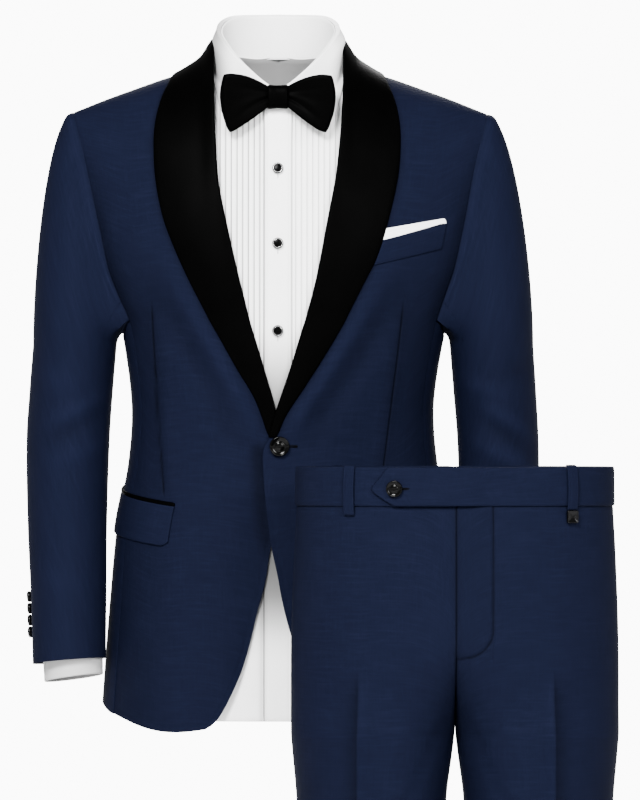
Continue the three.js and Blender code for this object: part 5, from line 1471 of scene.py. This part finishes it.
def add_trouser_leg(side, face):
    part, label = ("front" if face < 0 else "back"), LABELS[side]
    before, after = CREASE["share"] - 0.04, CREASE["share"] + 0.04
    top, knee = TROUSERS["band"] - 0.4, -800
    if face < 0:
        columns = [np.linspace(0.0006, 0.30, 48), np.linspace(0.31, before, 16), CREASE_COLUMNS,
                   np.linspace(after, 0.9993, 28)]
        heights = [np.linspace(TROUSERS["hem"], knee, 32)[:-1], np.linspace(knee, -655, 34)[:-1],
                   np.linspace(-655, -590, 40)[:-1], np.linspace(-590, top, 34)]
    else:
        columns = [np.linspace(0.0006, before, 36), CREASE_COLUMNS, np.linspace(after, 0.9993, 30)]
        heights = [np.linspace(TROUSERS["hem"], knee, 30)[:-1], np.linspace(knee, top, 60)]
    s, z = mesh_grid(np.concatenate(columns), np.concatenate(heights))
    grid = trouser_surface(side, face, s, z)
    x = grid[..., 0] - TROUSERS["x"]
    # A pressed crease, whose outer side turns away from the light: painted shade on the outer side, a thin
    # line of painted shade on the inner side and a painted highlight beyond it
    pressed = falling(z, CREASE["top"], 34)
    off = (s - CREASE["share"]) * 300
    relief = 0.9 * bell(off / 3) * pressed
    fade = np.where(off > 0, 0.5 * np.exp(-np.abs(off) / 9), 0.12 * np.exp(-np.abs(off) / 1.5))
    shade = 1 - pressed * fade
    shade += 0.1 * pressed * hump(off, -5, 4)
    # Ease below the waist and soft folds running down from the crotch
    ease = falling(z, -560, 200) * rising(s, 0.1, 0.2) * falling(s, 0.9, 0.2)
    relief += 0.9 * ease * np.sin(s * 7 + z / 120)
    pull = side * x - lerp(6, 80, (TROUSERS["crotch"] + 26 - z) / 160)
    relief -= bell(pull / 9) * falling(z, TROUSERS["crotch"] + 30, 30) * rising(z, -900, 120)
    if face < 0:
        # Painted shade along the centre front seam
        centre = rising(z, -745, 30)
        shade *= 1 - centre * humps(CENTRE_SHADE, x)
    if face < 0 and side > 0:
        near = fly_distance(x, z)
        fly_top, fly_foot = falling(z, FLY["top"] + 1, 2), z > FLY["foot"]
        inside = (x < FLY["x"] + 0.8) & fly_foot
        relief += -0.5 * bell(near / 1.2) + np.where(inside, 0.7 * smooth(near / 4), 0) * fly_top
        # Painted shade along the stitch groove and a little wider around it, and a little darker over the
        # fly
        shade *= 1 - 0.62 * bell(near / 0.9) - 0.08 * bell(near / 3) - 0.06 * inside
    cloth(f"leg_{part}_{label}", grid, SUITING, suiting, f"trouser_{part}_{label}", -side * face,
          held="hung", relief=relief, seams=("u1", "v1"), rests_on=[f"waist_{label}"], shade=shade)


for side in LABELS:
    for face in (-1, 1):
        add_trouser_leg(side, face)

# Waistband: the left half laps over the front and ends in a pointed tab
BAND_THICK, TAB_LIFT = 2, 3.9
tab_end = fit(table("v x", (0, -64), (0.2, -77), (0.43, -87), (0.72, -79), (1, -71)), "v", "x")


def waist_point(turn, z, lift):
    e = 2 / HIP_ROUND
    deep = np.where(np.cos(turn) > 0, hips["front"](z), hips["back"](z))
    x = (hips["half"](z) + lift) * power(np.sin(turn), e)
    return points(TROUSERS["x"] + x, TROUSERS["y"] - (deep + lift) * power(np.cos(turn), e), z)


def waist_turn(x):
    return np.sign(x) * np.arcsin((np.abs(x) / hips["half"](TROUSERS["waist"])) ** (HIP_ROUND / 2))


def around_waist(grid):
    return away_from(grid, TROUSERS["x"], TROUSERS["y"])


def add_waistband():
    u, v = share_grid(150, 26)
    z = lerp(TROUSERS["band"], TROUSERS["waist"], v)
    edge_roll = -0.5 * hump(v, 1, 0.06) - 0.5 * bell(v / 0.05)
    grid = waist_point(lerp(-0.004, -PI + 0.003, u), z, BAND_THICK)
    cloth("waist_right", grid, BAND_THICK, suiting, "waistband_right", around_waist(grid), relief=edge_roll,
          held="hung")
    start = waist_turn(tab_end(v))
    turn = lerp(start, PI - 0.003, u**1.15)
    lap = TAB_LIFT * (1 - rising(turn, 0.03, 0.16))
    grid = waist_point(turn, z, BAND_THICK + lap)
    cloth("waist_left", grid, BAND_THICK, suiting, "waistband_left", around_waist(grid), relief=edge_roll,
          held="hung", rests_on=["waist_right"])


add_waistband()

LOOP = {"width": 11, "thickness": 1.6, "top": -431.6, "low": -484, "stand": 2.2}
# The plate hangs from the left front loop, which is shorter
PLATE = {"x": 122.0, "z": -486, "lift": 2.2, "size": 13.5, "thickness": 3, "radius": 1.5, "loop": -478.6}
LOOPS = [
    ("front_right", waist_turn(-112.0), LOOP["low"]), ("front_left", waist_turn(PLATE["x"]), PLATE["loop"]),
    ("back_right", -2.35, LOOP["low"]), ("back_left", 2.35, LOOP["low"]),
]
for name, middle, low in LOOPS:
    reach = np.linalg.norm(waist_point(middle + 0.01, -455, 0) - waist_point(middle - 0.01, -455, 0))
    half_turn = LOOP["width"] * 0.01 / reach
    u, v = share_grid(14, 50)
    bow = LOOP["stand"] * np.sin(PI * v) ** 0.6
    lift = BAND_THICK + 0.3 + bow + LOOP["thickness"]
    grid = waist_point(middle + half_turn * (2 * u - 1), lerp(low, LOOP["top"], v), lift)
    grooves = -0.25 * (hump(u, 0.17, 0.05) + hump(u, 0.83, 0.05))
    cloth(f"loop_{name}", grid, LOOP["thickness"], suiting, f"belt_loop_{name}", around_waist(grid),
          relief=grooves, held="stretched", rests_on=["waist_right" if "right" in name else "waist_left"])


# Buttons, studs and the plain metal plate
def circle(count, turned=0.0):
    angle = turned + np.linspace(0, 2 * PI, count, endpoint=False)
    return np.stack([np.cos(angle), np.sin(angle)], axis=1)


def ring_faces(rings, around, loop=False):
    """Quads between rings with the same number of points. A loop joins its last ring to its first."""
    j, i = np.meshgrid(np.arange(rings if loop else rings - 1), np.arange(around), indexing="ij")
    j, i = j.ravel(), i.ravel()
    next_i, next_j = (i + 1) % around, (j + 1) % rings
    corners = [(j, i), (j, next_i), (next_j, next_i), (next_j, i)]
    return np.stack([a * around + b for a, b in corners], axis=1)


def layered(name, outline, levels, at, facing):
    """A closed body from an outline and its scale and height at each level, from back to front."""
    facing = unit(facing)
    right = unit(np.cross([0, 0, 1.0], facing))
    basis = np.stack([right, np.cross(facing, right), facing])
    rings = [points(*(outline * max(scale, 1e-3)).T, height) for scale, height in levels]
    return new_mesh(name, np.concatenate(rings) @ basis + at, ring_faces(len(levels), len(outline)))


def scaled(profile, radius, thickness):
    return [(radius * r, thickness * h) for r, h in profile]


def bulge(radius, low, high, first, count):
    """The profile of a dome from its edge to its tip."""
    turns = np.linspace(first, 1, count) * PI / 2
    return [(radius * math.cos(a), lerp(low, high, math.sin(a))) for a in turns]


def on_form(form, x, z, lift):
    """A place in front of a form, and the direction that the form faces there."""
    return form.raised(x, form.at_height(x, z, -1), lift)


def on_waist(x, z, lift):
    turn = waist_turn(x)
    along = waist_point(turn + 0.01, z, lift) - waist_point(turn - 0.01, z, lift)
    facing = unit(np.cross([0, 0, 1.0], along))
    return waist_point(turn, z, lift), facing if facing[1] < 0 else -facing


# Profiles are shares of the radius and the thickness. A button has a rolled rim and a dished face
BUTTON = (
    (0, 0), (0.7, 0), (0.9, 0.16), (0.985, 0.4), (1, 0.55), (0.985, 0.75), (0.95, 0.92), (0.9, 1),
    (0.85, 0.96), (0.8, 0.82), (0.74, 0.72), (0.55, 0.66), (0.42, 0.66),
)


# Diameter, thickness and the dome's share of it
FRONT_BUTTON, CUFF_BUTTON, TAB_BUTTON = (22, 5, 0.2), (12.4, 4.6, 0.2), (18, 4.6, 0.12)


def button(name, node, size, place):
    diameter, thickness, dome = size
    profile = [*BUTTON, *bulge(0.42, 0.66, 0.66 + dome, 0.1, 7)]
    mesh = layered(name, circle(64), scaled(profile, diameter / 2, thickness), *place)
    new_object(name, mesh, gloss, node)


FRONT_BUTTON_Z, TAB_Z = -411.6, -456
place = on_form(jacket_form, 2.0, FRONT_BUTTON_Z, SUITING + 0.5)
button("button_front", "front_button", FRONT_BUTTON, place)
CUFF_BUTTONS = {"first": -616.5, "pitch": 13, "alpha": 0.545, "lift": 0.9}
for side, label in LABELS.items():
    for i in range(4):
        z = CUFF_BUTTONS["first"] + CUFF_BUTTONS["pitch"] * i
        alpha = CUFF_BUTTONS["alpha"]
        w = 1 + (FIRST_RING - z) / (FIRST_RING - hem_tilt(alpha))
        here, ahead, behind, lower, upper = (
            sleeve_surface(jacket_loops, side, alpha + round_by, w + down_by)
            for round_by, down_by in ((0, 0), (0.005, 0), (-0.005, 0), (0, 0.01), (0, -0.01))
        )
        facing = unit(np.cross(ahead - behind, lower - upper)) * -side
        place = here + facing * CUFF_BUTTONS["lift"], facing
        button(f"button_cuff_{label}_{i + 1}", f"cuff_button_{label}_{i + 1}", CUFF_BUTTON, place)
place = on_waist(-63.5, TAB_Z, TAB_LIFT + BAND_THICK + 0.4)
button("button_trouser", "trouser_button", TAB_BUTTON, place)

# A stud is a dish, a bright ring on its rim and a dark stone inside the ring
STUD = {"radius": 6.2, "thickness": 3.4, "heights": (-107.4, -189.6, -285)}
STUD_DISH = (
    (0, 0), (0.7, 0), (0.95, 0.3), (1, 0.55), (0.97, 0.8), (0.9, 0.97), (0.82, 0.97), (0.76, 0.8), (0, 0.7)
)
STUD_RING = ((0.86, 0.7), (0.84, 1.0), (0.8, 1.06), (0.75, 1.02), (0.72, 0.7), (0.86, 0.7))
STUD_STONE = ((0, 0.6), *bulge(0.72, 0.76, 0.96, 0, 8))
STUD_PARTS = (
    ("stud", STUD_DISH, 48, metal), ("stud_ring", STUD_RING, 48, bright_metal),
    ("stud_stone", STUD_STONE, 40, stone_black),
)
on_placket = PLACKET["lift"] + PLACKET["thickness"]
for i, z in enumerate(STUD["heights"], 1):
    place = on_form(shirt_form, 0.0, z, on_placket + 0.4)
    for part, profile, count, look in STUD_PARTS:
        profile = scaled(profile, STUD["radius"], STUD["thickness"])
        mesh = layered(f"{part}_{i}", circle(count), profile, *place)
        new_object(f"{part}_{i}", mesh, look, f"shirt_stud_{i}" if part == "stud" else None)

# The plate is square with round corners, soft edges and a sunk face
half = PLATE["size"] / 2 - PLATE["radius"]
outline = half * np.sign(circle(48, 1e-6)) + PLATE["radius"] * circle(48)
low, high = PLATE["thickness"] - 0.5, PLATE["thickness"]
levels = [(0, 0), (0.96, 0), (1, 0.4), (1, low), (0.97, high), (0.86, high), (0.82, low), (0, low)]
place = on_waist(PLATE["x"], PLATE["z"], PLATE["lift"])
new_object("keeper", layered("keeper", outline, levels, *place), metal, "belt_loop_keeper")


def buttonhole(name, place, along, length, gap, radius, look):
    """A thread that runs round a slit in the cloth."""
    at, facing = place
    facing, along = unit(facing), unit(along)
    across = np.cross(facing, along)
    cos, sin = circle(40).T[..., None]
    path = at + along * ((length / 2 - gap) * np.sign(cos) + gap * cos) + across * gap * sin
    away = unit(along * cos + across * sin)
    ring_cos, ring_sin = circle(8).T[..., None]
    vertices = path[:, None] + radius * (away[:, None] * ring_cos + facing * ring_sin)
    new_object(name, new_mesh(name, vertices.reshape(-1, 3), ring_faces(40, 8, True)), look)


place = on_form(jacket_form, 15.2, FRONT_BUTTON_Z, SUITING + 0.5)
buttonhole("buttonhole_front", place, [1, 0, 0], 12, 0.75, 0.55, black_thread)
place = on_waist(-52.5, TAB_Z, TAB_LIFT + BAND_THICK + 0.2)
buttonhole("buttonhole_trouser", place, [1, 0, 0], 13, 0.7, 0.5, black_thread)
for i, z in enumerate(STUD["heights"], 1):
    place = on_form(shirt_form, 0.0, z - 9, on_placket + 0.1)
    buttonhole(f"buttonhole_shirt_{i}", place, [0, 0, 1], 5, 0.4, 0.3, shirt_thread)

# Stage: a pale floor under the hems, three soft lights, and a studio that is bright behind the suit
FLOOR_Z, FLOOR_HALF = -1.4895, 14
floor_mesh = bpy.data.meshes.new("floor")
corners = [(x * FLOOR_HALF, y * FLOOR_HALF, FLOOR_Z) for x, y in ((-1, -1), (1, -1), (1, 1), (-1, 1))]
floor_mesh.from_pydata(corners, [], [(0, 1, 2, 3)])
floor_material, floor_tree, floor_shader = node_tree("floor")
floor_grain = add_node(floor_tree, "TexNoise", Scale=3)
floor_tone = ramp(floor_tree, floor_grain, "Fac", [(0.3, grey(0.84)), (0.7, grey(0.86))])
link(floor_tree, floor_tone, "Color", floor_shader, "Base Color")
set_values(floor_shader, Roughness=0.9)
floor_mesh.materials.append(floor_material)
floor = bpy.data.objects.new("floor", floor_mesh)
bpy.context.collection.objects.link(floor)


MIDDLE = (0.05, -0.1, -0.35)


def area_light(name, location, size, energy):
    """A soft light that faces the middle of the suit."""
    data = bpy.data.lights.new(name, "AREA")
    data.shape = "RECTANGLE"
    data.size, data.size_y = size
    data.energy = energy
    light = bpy.data.objects.new(name, data)
    light.location = location
    x, y, z = np.array(MIDDLE) - np.array(location)
    light.rotation_euler = (math.atan2(math.hypot(x, y), -z), 0, math.atan2(y, x) - PI / 2)
    bpy.context.collection.objects.link(light)


area_light("key", (-1.3, -4.4, 2.7), (1.6, 1.6), 1020)
area_light("fill", (2.4, -4.6, 1.6), (2.0, 2.0), 430)
area_light("behind", (0.6, 4.6, 2.8), (2.4, 2.0), 480)

# Light of the horizon behind the suit, and the shares of it in front and at the sides, and overhead
HORIZON, BAND_SIDE, ROOM = 11.0, 0.2, 0.05
world = bpy.data.worlds.new("studio")
world.use_nodes = True
studio = world.node_tree
where = add_node(studio, "TexCoord")
axes = add_node(studio, "SeparateXYZ")
link(studio, where, "Generated", axes, "Vector")
height = math_node(studio, "ABSOLUTE", axes.outputs["Z"], 0)
band = add_node(studio, "MapRange", From_Min=0.06, From_Max=0.15, To_Min=1.0, To_Max=0.0)
studio.links.new(height, band.inputs["Value"])
ends = add_node(studio, "MapRange", From_Min=0.9, From_Max=0.985, To_Min=BAND_SIDE, To_Max=1.0)
link(studio, axes, "Y", ends, "Value")
glow = math_node(studio, "MULTIPLY", band.outputs["Result"], ends.outputs["Result"])
glow = math_node(studio, "MAXIMUM", glow, ROOM)
strength = math_node(studio, "MULTIPLY", glow, HORIZON)
background = studio.nodes["Background"]
studio.links.new(strength, background.inputs["Strength"])
set_values(background, Color=(1, 1, 1, 1))
bpy.context.scene.world = world
